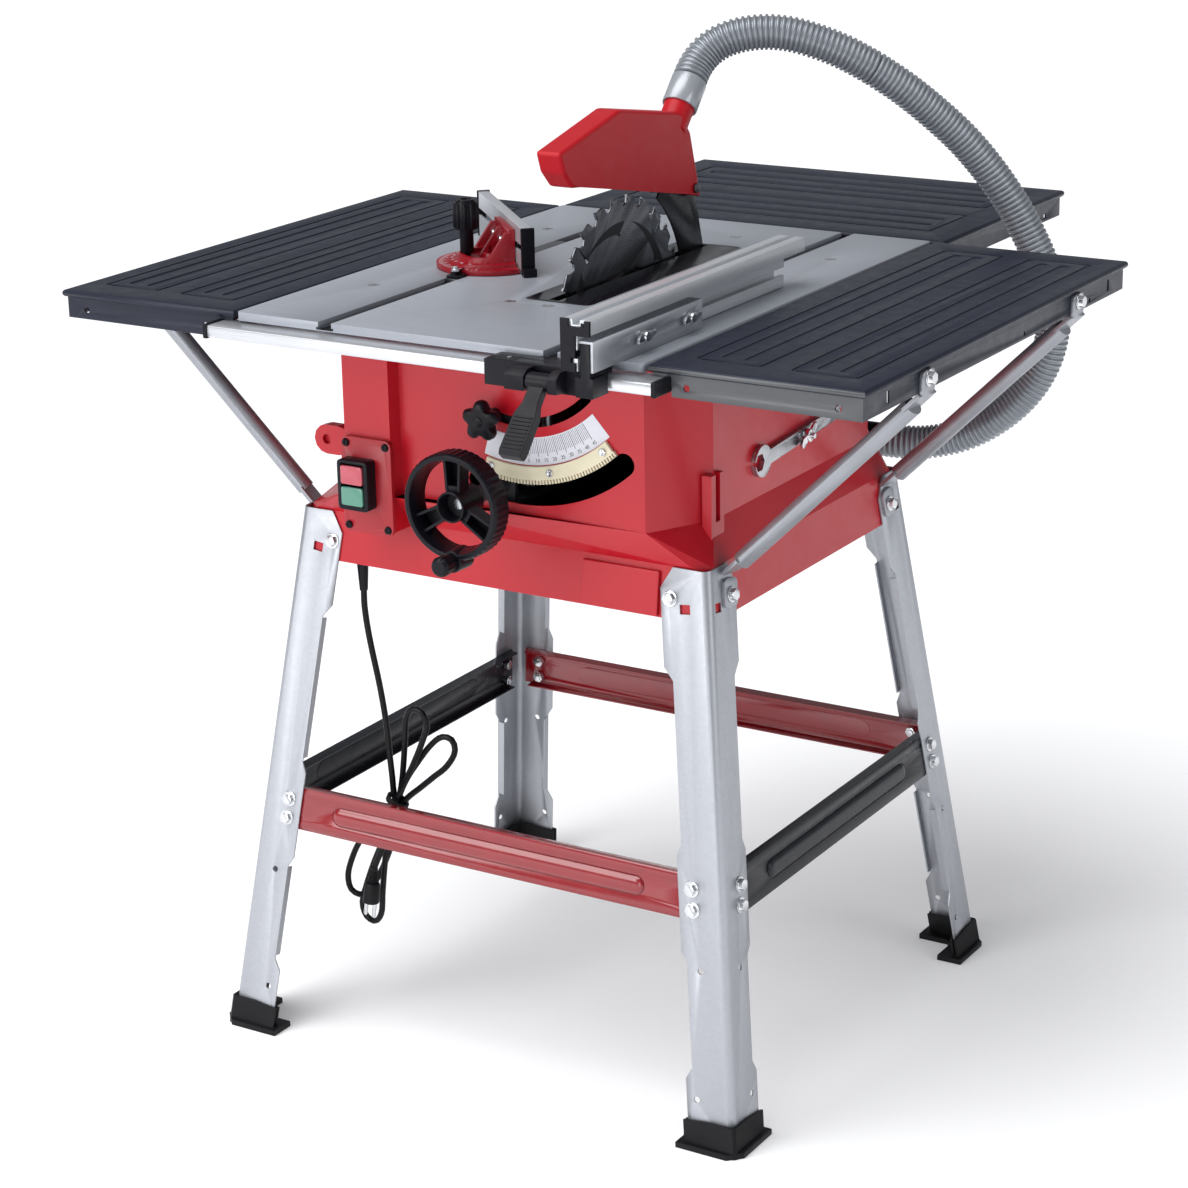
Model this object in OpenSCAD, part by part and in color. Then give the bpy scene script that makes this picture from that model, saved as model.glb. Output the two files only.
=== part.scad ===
/* [Table] */
// Height of the table top above the floor
table_h = 850; // [840:1:860]
// Width of the main table
table_w = 478; // [472:1:480]
// Depth of the main table
table_d = 628; // [624:1:632]
// Gap between neighbouring tables
table_gap = 4; // [3:0.5:6]
// Width of each side extension
side_w = 227; // [215:1:240]
// Depth of the rear extension
rear_d = 338; // [320:1:350]
// Width of the mitre slots
slot_w = 16; // [15:0.5:18]

/* [Blade] */
// Outer diameter of the saw blade
blade_d = 250; // [248:1:252]
// Height of the blade above the table, fully raised
blade_rise = 85; // [83:1:86]
// Number of teeth
teeth = 24; // [16:2:30]
// Thickness of the blade body
blade_t = 2; // [1.6:0.2:2.2]
// Width of the cut
kerf = 2.8; // [2.6:0.1:3]

/* [Stand] */
// Half the spread of the legs in X at the floor
leg_x = 326; // [322:1:330]
// Half the spread of the legs in Y at the floor
leg_y = 300.7; // [298:0.1:303]
// Sheet thickness of the legs
leg_t = 1.8; // [1.5:0.1:2]
// Height of the cross braces above the floor
brace_z = 239; // [230:1:245]

/* [Fence] */
// Length of the rip fence
fence_l = 427; // [420:1:440]
// Length of the mitre fence
mitre_l = 225; // [200:1:230]
// Angle of the mitre fence at rest
mitre_rest = 45; // [40:1:50]

/* [Hidden] */
$fn = 48;

// Places in plan, measured from the middle of the main table; the origin is the middle of the whole saw.
table_y = -120.6;
stand_x = -28;
stand_y = 51;
tilt_x = 20;
blade_x = 21;
arbor_y = 9;
arbor_drop = blade_d / 2 - blade_rise;
slot_xs = [-129, 136.5];
table_t = 9;
body_top = -15;
sheet = 2;

// Slopes of the four legs.
lean_x = 7.04;
lean_y = 7.72;
slope_x = tan(lean_x);
slope_y = tan(lean_y);
leg_top = 600;

// Frames that the sub-parts are drawn in.
module on_floor() translate([0, table_y, 0]) children();
module on_table() translate([0, table_y, table_h]) children();
module on_stand() translate([stand_x, table_y + stand_y, 0]) children();
module on_tilt() translate([tilt_x, table_y, table_h]) children();
module on_arbor() translate([blade_x, table_y + arbor_y, table_h - arbor_drop]) children();

// Outlines drawn in XZ or YZ and given a thickness along the third axis.
module xz(y, t) translate([0, y + t, 0]) rotate([90, 0, 0]) linear_extrude(t) children();
module yz(x, t) translate([x, 0, 0]) rotate([90, 0, 90]) linear_extrude(t) children();
module rod_x(x, l, d) translate([x, 0, 0]) rotate([0, 90, 0]) cylinder(d = d, h = l);
module rod_y(y, l, d) translate([0, y, 0]) rotate([-90, 0, 0]) cylinder(d = d, h = l);

// Rectangle with rounded corners, as a polygon.
function rounded(x0, y0, x1, y1, r, step = 18) = [
    for (c = [[x1 - r, y1 - r, 0], [x0 + r, y1 - r, 90], [x0 + r, y0 + r, 180], [x1 - r, y0 + r, 270]])
    for (a = [0:step:90]) [c[0] + r * cos(c[2] + a), c[1] + r * sin(c[2] + a)]];

// Outline moved inward by t; the points run anticlockwise.
function inset(pts, t) = let (n = len(pts)) [for (i = [0:n - 1]) let (
    u = (pts[i] - pts[(i + n - 1) % n]) / norm(pts[i] - pts[(i + n - 1) % n]),
    v = (pts[(i + 1) % n] - pts[i]) / norm(pts[(i + 1) % n] - pts[i]),
    nu = [-u[1], u[0]],
    nv = [-v[1], v[0]]) pts[i] + t * (nu + nv) / (1 + nu * nv)];

// Part of a ring about the tilt axis, with angles measured from straight down towards +X.
module sector(r1, r2, a1, a2) intersection() {
    difference() {
        circle(r2, $fn = 96);
        circle(r1, $fn = 96);
    }
    polygon(concat([[0, 0]], [for (k = [0:4]) let (a = a1 + (a2 - a1) * k / 4)
        [2 * r2 * sin(a), -2 * r2 * cos(a)]]));
}
module arc_slot(r, w, a1, a2) {
    sector(r - w / 2, r + w / 2, a1, a2);
    for (a = [a1, a2]) translate([r * sin(a), -r * cos(a)]) circle(w / 2 - 0.1);
}
module at_arc(r, a) translate([r * sin(a), 0, -r * cos(a)]) children();

// ---- Cabinet ----
body_front = -192;
body_pts = [[-190, -206], [-132, -206], [-128, -192], [167, -192], [205, -120], [205, 230], [167, 297],
    [-195, 297], [-235, 230], [-235, -125]];
function base_pts(hx, hy, c) = [[stand_x - hx + c, stand_y - hy], [stand_x + hx - c, stand_y - hy],
    [stand_x + hx, stand_y - hy + c], [stand_x + hx, stand_y + hy - c], [stand_x + hx - c, stand_y + hy],
    [stand_x - hx + c, stand_y + hy], [stand_x - hx, stand_y + hy - c], [stand_x - hx, stand_y - hy + c]];
base_top_pts = base_pts(249.6, 215.6, 14);
base_low_pts = base_pts(256, 223, 14);
body_low = 640;
base_low = 546;
lock_r = 113;
lock_a = -15;
wheel_r = 187;
wheel_a = -9;
screw_tabs = [[-187, -147], [-180, 185], [183, 181]];
port = [85, 700];
port_d = 100;
gland = [-215, -150];

module body_shell(t) {
    translate([0, 0, body_low]) linear_extrude(table_h + body_top - body_low) polygon(inset(body_pts, t));
    hull() {
        translate([0, 0, body_low]) linear_extrude(0.01) polygon(inset(body_pts, t));
        translate([0, 0, leg_top]) linear_extrude(0.01) polygon(inset(base_top_pts, t));
    }
    translate([-191 + t, -206 + t, leg_top]) cube([58 - 2 * t, 60, 60]);
}
module cabinet() color("firebrick") on_floor() difference() {
    union() {
        body_shell(0);
        xz(-188, 12) polygon(rounded(-243, 671, -196, 703, 15.9, 30));
        translate([200, -135, 614]) cube([11, 26, 76]);
    }
    translate([205.5, -126, 640]) cube([40, 9, 60]);
    translate([-227, 0, 687]) rod_y(-190, 7, 11);
    difference() {
        body_shell(sheet);
        translate([0, 0, table_h + body_top - 3]) linear_extrude(10) difference() {
            polygon(inset(body_pts, 1));
            difference() {
                polygon(inset(body_pts, 22));
                for (p = screw_tabs) translate([p[0] + sign(p[0]) * 20, p[1]]) square([80, 36], center = true);
            }
        }
    }
    translate([tilt_x, 0, table_h]) {
        xz(-200, 20) arc_slot(lock_r, 10, -25, 46);
        xz(-200, 20) arc_slot(188, 24, -16, 41);
    }
    translate([port[0], 290, port[1]]) rod_y(0, 20, 94);
    for (p = screw_tabs) translate([p[0], p[1], table_h - 30]) cylinder(d = 6.6, h = 20);
}
module base_shell(t, z0, z1) hull() {
    translate([0, 0, z0]) linear_extrude(0.01) polygon(inset(base_low_pts, t));
    translate([0, 0, z1 - 0.01]) linear_extrude(0.01) polygon(inset(base_top_pts, t));
}
module cabinet_base() color("firebrick") difference() {
    union() {
        on_floor() difference() {
            base_shell(0, base_low, leg_top);
            base_shell(sheet + 0.5, base_low - 1, leg_top + 1);
        }
        on_floor() translate([gland[0], gland[1], base_low]) difference() {
            translate([-36, -21, 0]) cube([72, 51, 3]);
            translate([0, 0, -1]) cylinder(d = 12.4, h = 6);
        }
    }
    leg_bolt_places() rod_z(-12, 24, 8.6);
}
module rod_z(z, l, d) translate([0, 0, z]) cylinder(d = d, h = l);

// ---- Tables ----
module countersunk_hole(z0) {
    translate([0, 0, z0]) cylinder(d = 6.6, h = 60);
    translate([0, 0, -3.5]) cylinder(d1 = 6.6, d2 = 13.6, h = 3.51);
}
table_screws = [[-187, -147], [-16, -148], [30.5, -148], [-180, 185], [34, 240], [183, 181]];
insert_box = [-11, -132, 69, 194];
module t_slot(x) {
    translate([x - slot_w / 2, -table_d / 2 - 1, -8]) cube([slot_w, table_d + 2, 9]);
    translate([x - slot_w / 2 - 2.5, -table_d / 2 - 1, -8]) cube([slot_w + 5, table_d + 2, 2.8]);
}
module main_table() color("silver") on_table() difference() {
    union() {
        translate([0, 0, -table_t]) linear_extrude(table_t)
            polygon(rounded(-table_w / 2, -table_d / 2, table_w / 2, table_d / 2, 4, 30));
        for (x = slot_xs) translate([x - 16, -290, -13]) cube([32, 580, 5]);
        translate([0, 0, body_top]) linear_extrude(-body_top - 8) difference() {
            polygon(inset(body_pts, 4));
            polygon(inset(body_pts, 14));
        }
        for (p = screw_tabs) translate([p[0], p[1], body_top]) cylinder(d = 22, h = 8);
    }
    for (x = slot_xs) t_slot(x);
    translate([0, 0, -3]) linear_extrude(5)
        polygon(rounded(insert_box[0], insert_box[1], insert_box[2], insert_box[3], 8, 30));
    translate([0, -126, -20]) cube([58, 316, 30]);
    for (p = table_screws) translate([p[0], p[1], 0]) countersunk_hole(-30);
}
module table_insert() color("dimgray") on_table() difference() {
    translate([0, 0, -3]) linear_extrude(2.8)
        polygon(rounded(insert_box[0] + 0.3, insert_box[1] + 0.3, insert_box[2] - 0.3, insert_box[3] - 0.3, 8, 30));
    translate([blade_x - 6, -123, -6]) cube([12, 312, 9]);
}

// Pressed steel table leaf, x0 to x1 and y0 to y1, with rolled edges and aprons set in on the given sides.
leaf_h = 30;
roll_r = 3.9;
roll_h = 8;
module leaf_block(x0, x1, y0, y1, r, z0, z1) intersection() {
    xz(y0, y1 - y0) polygon(rounded(x0, z0, x1, z1, r, 30));
    yz(x0, x1 - x0) polygon(rounded(y0, z0, y1, z1, r, 30));
}
module leaf(x0, x1, y0, y1) difference() {
    union() {
        leaf_block(x0, x1, y0, y1, roll_r, -roll_h, 0);
        translate([x0 + 4, y0 + 4, -leaf_h]) cube([x1 - x0 - 8, y1 - y0 - 8, leaf_h - 4]);
    }
    translate([x0 + 6, y0 + 6, -leaf_h - 1]) cube([x1 - x0 - 12, y1 - y0 - 12, leaf_h - 1]);
}
// A stamped panel: a stepped outline with two long beads inside it.
bead_depth = 0.9;
module stamped_panel(w, l) {
    difference() {
        linear_extrude(5) polygon(rounded(-w / 2, -l / 2, w / 2, l / 2, 6, 45));
        translate([0, 0, -1]) linear_extrude(7) polygon(rounded(-w / 2 + 4, -l / 2 + 4, w / 2 - 4, l / 2 - 4, 3, 45));
    }
    for (x = [-w / 6, w / 6]) linear_extrude(5)
        polygon(rounded(x - 5, -l / 2 + 16, x + 5, l / 2 - 16, 4.9, 30));
}
side_x0 = table_w / 2 + table_gap;
side_x1 = side_x0 + side_w;
strut_ys = [-180, 180];
leaf_bolt_z = -17;
module side_leaf() difference() {
    leaf(side_x0, side_x1, -table_d / 2, table_d / 2);
    for (k = [0.29, 0.73]) translate([side_x0 + side_w * k, 0, -bead_depth]) stamped_panel(72, table_d - 76);
    for (x = [283, 441]) translate([x, -table_d / 2, -20]) rod_y(-5, 15, 7);
    for (y = strut_ys) translate([side_x1, y, leaf_bolt_z]) rod_x(-10, 20, 8.6);
    for (y = [-259, 268]) translate([side_x1 - 10, y - 2.5, -24]) cube([20, 5, 12]);
    translate([side_x0 - 1, -table_d / 2 - 1, -leaf_h - 1]) cube([25, 16, leaf_h - 10]);
    for (y = [50, 218]) translate([side_x1, y, -24]) rod_x(-10, 20, 5);
}
module right_extension() color("darkslategray") on_table() side_leaf();
module left_extension() color("darkslategray") on_table() mirror([1, 0, 0]) side_leaf();
rear_y0 = table_d / 2 + table_gap;
rear_y1 = rear_y0 + rear_d;
module rear_extension() color("darkslategray") on_table() difference() {
    leaf(-241, 253, rear_y0, rear_y1);
    for (k = [0.28, 0.72]) translate([6, rear_y0 + rear_d * k, -bead_depth])
        rotate([0, 0, 90]) stamped_panel(104, 420);
    for (x = [-241, 253]) translate([x, 608, -23]) rod_x(-10, 20, 7);
}

// ---- Struts of the side extensions ----
strut_d = 19;
tab_l = 22;
tab_t = 3.8;
strut_foot_z = 592;
// Tube from a to b with a flattened length at each end.
module strut(a, b) {
    v = b - a;
    l = norm(v);
    translate(a) rotate([0, atan2(norm([v[0], v[1]]), v[2]), atan2(v[1], v[0])]) difference() {
        union() {
            translate([0, 0, tab_l]) cylinder(d = strut_d, h = l - 2 * tab_l);
            for (z = [0, l - tab_l - 4]) translate([-2, -13, z]) cube([4, 26, tab_l + 4]);
        }
        translate([0, 0, tab_l + 14]) cylinder(d = strut_d - 3, h = l - 2 * tab_l - 28);
    }
}
module extension_struts() color("gray") {
    on_floor() for (s = [1, -1], j = [0, 1]) {
        foot_x = leg_x - slope_x * strut_foot_z + 4.3;
        foot_y = leg_y - slope_y * strut_foot_z - top_side_dy;
        strut([stand_x + s * foot_x, stand_y + (2 * j - 1) * foot_y, strut_foot_z],
            [s * (side_x1 - 1.9), strut_ys[j], table_h - 32]);
    }
    on_table() for (s = [1, -1], y = strut_ys) flip(s, 1) difference() {
        yz(side_x1 - tab_t, tab_t) polygon(rounded(y - 13, -34, y + 13, -9, 6, 30));
        translate([side_x1, y, leaf_bolt_z]) rod_x(-10, 20, 8.6);
    }
    four_corners() leg_frame() difference() {
        yz(0.2, tab_t) polygon(rounded(top_side_dy - 13, 570, top_side_dy + 13, 600, 6, 30));
        translate([0, top_side_dy, 583]) rod_x(-5, 20, 8.6);
    }
}

// ---- Front rail ----
rail = [-263, 265, -338, -300, -24, -11.5];
module front_rail() color("gainsboro") on_table() difference() {
    yz(rail[0] + 3, rail[1] - rail[0] - 6) difference() {
        polygon(rounded(rail[2], rail[4], rail[3], rail[5], 2, 45));
        polygon([[rail[2] + 2, rail[4] + 2], [rail[3] - 2, rail[4] + 2], [rail[3] - 2, rail[5] - 2],
            [rail[2] + 2, rail[5] - 2]]);
    }
    for (x = [-200, 60, 200]) translate([x, rail[3] - 6, rail[4] - 1]) cylinder(d = 5, h = 4);
}
// ---- Stand ----
brace_h = 48;
leg_flange = [[54, 0], [54, 80], [46, 92], [46, 205], [52, 216], [52, 316], [46, 328], [46, 498], [56, 512],
    [56, 594], [40, 615], [6, 620]];
bend_r = 9;
// Frame of one leg: the outer corner of its sheet at the floor, with the flanges along -X and +Y.
module leg_frame() translate([leg_x, -leg_y, 0]) rotate([-lean_y, -lean_x, 0]) children();
module flip(sx, sy) mirror([sx < 0 ? 1 : 0, 0, 0]) mirror([0, sy < 0 ? 1 : 0, 0]) children();
module four_corners() on_stand() for (sx = [1, -1], sy = [1, -1]) flip(sx, sy) children();
module leg_sheet(t) {
    xz(0, t) polygon(concat([[-bend_r, 0]], [[-bend_r, 620]], [for (i = [len(leg_flange) - 1:-1:0])
        [-max(leg_flange[i][0], bend_r + 1), leg_flange[i][1]]]));
    yz(-t, t) polygon(concat([for (p = leg_flange) [max(p[0], bend_r + 1), p[1]]], [[bend_r, 620], [bend_r, 0]]));
    translate([-bend_r, bend_r, 0]) linear_extrude(620) intersection() {
        difference() {
            circle(bend_r);
            circle(bend_r - t);
        }
        translate([0, -bend_r]) square(bend_r);
    }
    for (z = [[96, 106], [332, 162]]) translate([0, 0, z[0]]) {
        translate([-46, 0, 0]) cube([t, 9, z[1]]);
        translate([-9, 46 - t, 0]) cube([9, t, z[1]]);
    }
}
top_bolt_z = 574;
top_front_dx = 45;
top_side_dy = 40;
module leg() difference() {
    leg_frame() difference() {
        leg_sheet(leg_t);
        translate([-34, -5, 567]) cube([12, 10, 10]);
        translate([-5, 13, 567]) cube([10, 12, 10]);
        for (z = [[58, 42], [196, 30]]) {
            translate([-z[1], 0, z[0]]) rod_y(-5, 10, 7);
            translate([0, z[1], z[0]]) rod_x(-5, 10, 7);
        }
        leg_local_bolts() rod_z(-10, 20, 8.6);
    }
    translate([0, -400, -10]) cube([400, 400, 17.5]);
    translate([0, -400, leg_top]) cube([400, 400, 40]);
}
brace_bolt_zs = [260, 282];
// Bolt places on one leg: the front flange's, the side flange's at the braces, and the strut's.
module front_flange_bolts() for (p = [[583, top_front_dx], [brace_bolt_zs[0], 36], [brace_bolt_zs[1], 36]])
    translate([-p[1], 0, p[0]]) rotate([90, 0, 0]) children();
module side_flange_bolts() for (z = brace_bolt_zs) translate([0, 36, z]) rotate([0, 90, 0]) children();
module strut_bolt(out) translate([out, top_side_dy, 583]) rotate([0, 90, 0]) children();
module leg_local_bolts() {
    front_flange_bolts() children();
    side_flange_bolts() children();
    strut_bolt(0) children();
}
module leg_bolt_places() four_corners() leg_frame() leg_local_bolts() children();
module legs() color("lightgray") four_corners() leg();

module foot() difference() {
    union() {
        linear_extrude(6) foot_plan(8, 30);
        intersection() {
            leg_frame() translate([0, 0, -10]) linear_extrude(46) foot_wall(3.2, 5);
            translate([0, -400, 0]) cube([400, 400, 32]);
        }
    }
    intersection() {
        leg_frame() translate([0, 0, -10]) linear_extrude(80) foot_wall(0.1, leg_t + 0.1);
        translate([0, -400, 7.5]) cube([400, 400, 60]);
    }
}
module foot_wall(out, in) difference() {
    polygon([[out, -out], [out, 58], [-in, 58], [-in - bend_r + 2, in + bend_r - 2], [-58, in], [-58, -out]]);
    polygon([[out + 1, -out - 1], [out + 1, -out + 4], [out - 4, -out - 1]]);
}
module foot_plan(out, arm) translate([leg_x, -leg_y]) difference() {
    polygon([[out, -out + 14], [out, 66], [out - arm, 66], [out - arm, arm - out + 8], [out - arm - 8, arm - out],
        [-66, arm - out], [-66, -out], [out - 14, -out]]);
}
module rubber_feet() color("black") four_corners() foot();

// Channel brace lying along X: its web in XZ, flanges towards +Y, and a long stamped groove.
module brace(half_low, half_high, groove) {
    difference() {
        xz(0, 1.5) polygon([[-half_low, 0], [half_low, 0], [half_high, brace_h], [-half_high, brace_h]]);
        xz(-1, 1.7) polygon(rounded(-groove, brace_h / 2 - 11, groove, brace_h / 2 + 11, 10.9, 30));
    }
    difference() {
        xz(0.3, 1.7) polygon(rounded(-groove - 1, brace_h / 2 - 12, groove + 1, brace_h / 2 + 12, 11.9, 30));
        xz(-1, 1.8) polygon(rounded(-groove, brace_h / 2 - 11, groove, brace_h / 2 + 11, 10.9, 30));
    }
    for (z = [0, brace_h - 1.5]) translate([-half_high + 4, 0.1, z]) cube([2 * half_high - 8, 12, 1.5]);
}
// Cross braces run along X at the front and rear, side braces along Y.
cross_low = leg_x - slope_x * brace_z - 14;
cross_high = cross_low - slope_x * brace_h;
side_low = leg_y - slope_y * brace_z - 19;
side_high = side_low - slope_y * brace_h;
module cross_braces() color("firebrick") on_stand() for (s = [1, -1]) flip(1, s) difference() {
    translate([0, -leg_y + slope_y * brace_z + leg_t + 1.9, brace_z]) rotate([-lean_y, 0, 0])
        brace(cross_low, cross_high, 199);
    brace_holes();
}
module side_braces() color("darkslategray") on_stand() for (s = [1, -1]) flip(s, 1) difference() {
    translate([leg_x - slope_x * brace_z - leg_t - 0.2, 0, brace_z]) rotate([0, -lean_x, 0]) rotate([0, 0, 90])
        brace(side_low, side_high, 165);
    brace_holes();
}
module brace_holes() for (sx = [1, -1], sy = [1, -1]) flip(sx, sy) leg_frame() leg_local_bolts()
    rod_z(-12, 24, 8.6);

// ---- Fasteners of the frame ----
module hex_bolt(grip) {
    cylinder(d = 17, h = 1.2);
    translate([0, 0, 1.2]) cylinder(d = 13, h = 5, $fn = 6);
    translate([0, 0, -grip]) cylinder(d = 7.8, h = grip + 1);
    translate([0, 0, -grip + 1.5]) cylinder(d = 13, h = 5.5, $fn = 6);
}
module frame_bolts() color("lightsteelblue") {
    four_corners() leg_frame() {
        front_flange_bolts() hex_bolt(12.5);
        side_flange_bolts() hex_bolt(12.5);
        strut_bolt(tab_t + 0.3) hex_bolt(17);
    }
    on_table() for (s = [1, -1], y = strut_ys)
        translate([s * (side_x1 + 0.1), y, leaf_bolt_z]) rotate([0, s * 90, 0]) hex_bolt(13.6);
}

// ---- Fasteners of tables and panels ----
scale_screw_as = [-11.6, 13.2, 37.7];
switch_c = [-159.5, 650];
switch_half = [31.5, 52];
module pan_screw(l) {
    difference() {
        cylinder(d1 = 9, d2 = 7, h = 2.4);
        translate([-3, -0.5, 1.4]) cube([6, 1, 2]);
        translate([-0.5, -3, 1.4]) cube([1, 6, 2]);
    }
    translate([0, 0, -l]) cylinder(d = 4, h = l + 0.5);
}
module machine_screws() color("silver") {
    on_table() for (p = table_screws) translate([p[0], p[1], 0]) difference() {
        union() {
            translate([0, 0, -3.5]) cylinder(d1 = 6.4, d2 = 13.2, h = 3.4);
            translate([0, 0, -22]) cylinder(d = 6, h = 19);
        }
        translate([0, 0, -2.2]) cylinder(d = 4.6, h = 3, $fn = 6);
    }
    on_floor() for (sx = [-1, 1], sz = [-1, 1])
        translate([switch_c[0] + sx * 25, -212, switch_c[1] + sz * 45]) rotate([90, 0, 0]) pan_screw(5.6);
    on_tilt() for (a = scale_screw_as) at_arc(165, a) translate([0, body_front - 4, 0]) rotate([90, 0, 0])
        pan_screw(3.8);
}

// ---- Switch ----
module switch_plate() color("darkred") on_floor() difference() {
    xz(-212, 5.9) polygon(rounded(switch_c[0] - switch_half[0], switch_c[1] - switch_half[1],
        switch_c[0] + switch_half[0], switch_c[1] + switch_half[1], 8, 30));
    for (sx = [-1, 1], sz = [-1, 1]) translate([switch_c[0] + sx * 25, -220, switch_c[1] + sz * 45])
        rod_y(0, 20, 4.4);
}
box_c = [-167, 653.5];
button_zs = [642, 665];
button_x = 13.5;
button_h = 9;
button_travel = 3;
module switch_box() color("black") on_floor() difference() {
    xz(-228, 16) polygon(rounded(box_c[0] - 19, box_c[1] - 27, box_c[0] + 19, box_c[1] + 27, 4, 30));
    translate([box_c[0] - button_x - 0.5, -230, button_zs[0] - button_h - 2]) cube([2 * button_x + 1, 17, 46]);
}
module button(k) {
    z = button_zs[k];
    xz(-230, 4) polygon(rounded(box_c[0] - button_x, z - button_h - 1, box_c[0] + button_x, z + button_h + 1, 2, 45));
    translate([box_c[0] - 8, -227, z - 6]) cube([16, 9, 12]);
}
module stop_button() color("red") on_floor() button(1);
module start_button() color("green") on_floor() button(0);

// ---- Tilt scale and rack on the front panel ----
rack_teeth = 44;
module tilt_rack() color("wheat") on_tilt() difference() {
    xz(body_front - 4, 3.9) union() {
        sector(158, 172, -14, 41);
        for (k = [0:rack_teeth]) rotate(-14 + 55 * k / rack_teeth) translate([-1.1, -176.6]) square([2.2, 6]);
    }
    for (a = scale_screw_as) at_arc(165, a) translate([0, body_front - 10, 0]) rod_y(0, 20, 4.4);
}

// ---- Trunnions ----
trunnion_r = 65;
bracket_y = [-160, 228];
bracket_t = 20;
module trunnion_bracket(y, open_front) difference() {
    xz(y, bracket_t) sector(1, trunnion_r + 13, -64, 64);
    xz(y + (open_front ? -1 : bracket_t - 9), 10) sector(trunnion_r - 6, trunnion_r + 6, -70, 70);
}
module trunnion_brackets() color("dimgray") on_tilt() difference() {
    intersection() {
        union() {
            trunnion_bracket(bracket_y[0], true);
            trunnion_bracket(bracket_y[1], false);
        }
        translate([-100, -300, -120]) cube([200, 600, 120 - table_t]);
    }
    for (p = table_screws) translate([p[0] - tilt_x, p[1], -60]) cylinder(d = 6.6, h = 60);
}
module trunnion_plate(y) {
    xz(y, 6) union() {
        sector(trunnion_r - 13, trunnion_r + 13, -32, 17);
        polygon([[-44, -218], [-14, -218], [-14, -74], [-44, -60]]);
    }
}
module trunnion_rib(y, l) xz(y, l) sector(trunnion_r - 5.6, trunnion_r + 5.6, -30, 15);
front_plate_y = -182;
rear_plate_y = 258;
beam = [-44, -14, -218, -206];
column_x = -29;
column_ys = [-92, 172];
screw_y = -118;
screw_x = wheel_r * sin(wheel_a);
wheel_z = -wheel_r * cos(wheel_a);
top_bar_z = -15;
module tilt_frame() color("slategray") on_tilt() difference() {
    union() {
        trunnion_plate(front_plate_y);
        trunnion_rib(front_plate_y + 5, 25);
        trunnion_plate(rear_plate_y);
        trunnion_rib(rear_plate_y - 18, 19);
        translate([beam[0], front_plate_y, beam[2]])
            cube([beam[1] - beam[0], rear_plate_y - front_plate_y + 6, beam[3] - beam[2]]);
        translate([beam[0], column_ys[0] - 40, top_bar_z]) cube([18, column_ys[1] - column_ys[0] + 53, 4.5]);
        for (y = [column_ys[0], column_ys[0] - 27, column_ys[1]]) translate([beam[0], y - 13, top_bar_z])
            cube([30, 26, 4.5]);
        translate([beam[0], front_plate_y, -162]) cube([30, screw_y - front_plate_y + 12, 6]);
        at_arc(wheel_r, wheel_a) rod_y(-240, 62, 18);
        at_arc(lock_r, lock_a) rod_y(front_plate_y, 14, 22);
    }
    at_arc(wheel_r, wheel_a) rod_y(-250, 80, 12.1);
    at_arc(lock_r, lock_a) rod_y(-200, 40, 8.1);
    for (y = column_ys) translate([column_x, y, -230]) cylinder(d = 16, h = 230);
    translate([screw_x, screw_y, -170]) cylinder(d = 12.1, h = 30);
    translate([screw_x, screw_y, -30]) cylinder(d = 8.1, h = 30);
}
module guide_columns() color("silver") on_tilt() for (y = column_ys)
    translate([column_x, y, beam[2]]) cylinder(d = 16, h = top_bar_z + 4.5 - beam[2]);

// ---- Handwheel and lead screw ----
bevel_out = 16;
bevel_in = 8;
bevel_teeth = 16;
// Bevel wheel with its apex at the origin and its axis along +Z; shallow notches mark its teeth.
module bevel() difference() {
    translate([0, 0, bevel_in]) cylinder(r1 = bevel_in - 0.4, r2 = bevel_out - 0.4, h = bevel_out - bevel_in);
    for (k = [0:bevel_teeth - 1]) rotate([0, 0, (k + 0.5) * 360 / bevel_teeth]) rotate([0, 45, 0])
        translate([-1.2, -0.9, 10]) cube([2.4, 1.8, 20]);
}
module at_wheel() on_tilt() at_arc(wheel_r, wheel_a) children();
module handwheel_shaft() color("lightsteelblue") at_wheel() {
    rod_y(-264, 264 + screw_y - bevel_in, 12);
    translate([0, screw_y, 0]) rotate([90, 0, 0]) bevel();
}
thread_pitch = 4;
screw_top = -20;
module lead_screw() color("lightsteelblue") on_tilt() translate([screw_x, screw_y, 0]) {
    translate([0, 0, wheel_z]) bevel();
    translate([0, 0, wheel_z + bevel_in]) cylinder(d = 12, h = -154 - wheel_z - bevel_in);
    rotate_extrude() polygon(concat([[0, -154.5]], [for (k = [0:33], c = [[4.6, 0], [6, 1], [6, 3], [4.6, 4]])
        [c[0], -154.5 + thread_pitch * k + c[1]]], [[0, -154.5 + 34 * thread_pitch]]));
    translate([0, 0, -30]) cylinder(d = 8, h = 19.5);
}
rim_r = 56;
module handwheel() color("black") at_wheel() difference() {
    union() {
        rotate([-90, 0, 0]) rotate_extrude($fn = 72) polygon([[rim_r - 11, -278], [rim_r - 8, -280.5],
            [rim_r - 2, -280.5], [rim_r, -278], [rim_r, -258], [rim_r - 3, -255], [rim_r - 8, -255],
            [rim_r - 11, -258]]);
        rod_y(-268, 27, 34);
        for (a = [30, 150, 270]) rotate([0, a, 0]) translate([12, -270, -8]) cube([rim_r - 20, 12, 16]);
        translate([0, 0, -rim_r - 1]) rod_y(-280.5, 26, 24);
    }
    rod_y(-300, 100, 12.02);
    rod_y(-300, 38, 26);
    translate([0, 0, -rim_r - 1]) rod_y(-300, 60, 8.1);
    for (k = [0:23]) rotate([0, k * 15, 0]) translate([rim_r - 1.2, -276, -2]) cube([4, 18, 4]);
    for (a = [30, 150, 270]) rotate([0, a, 0]) translate([20, -272, -5]) cube([rim_r - 34, 9, 10]);
}
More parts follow.
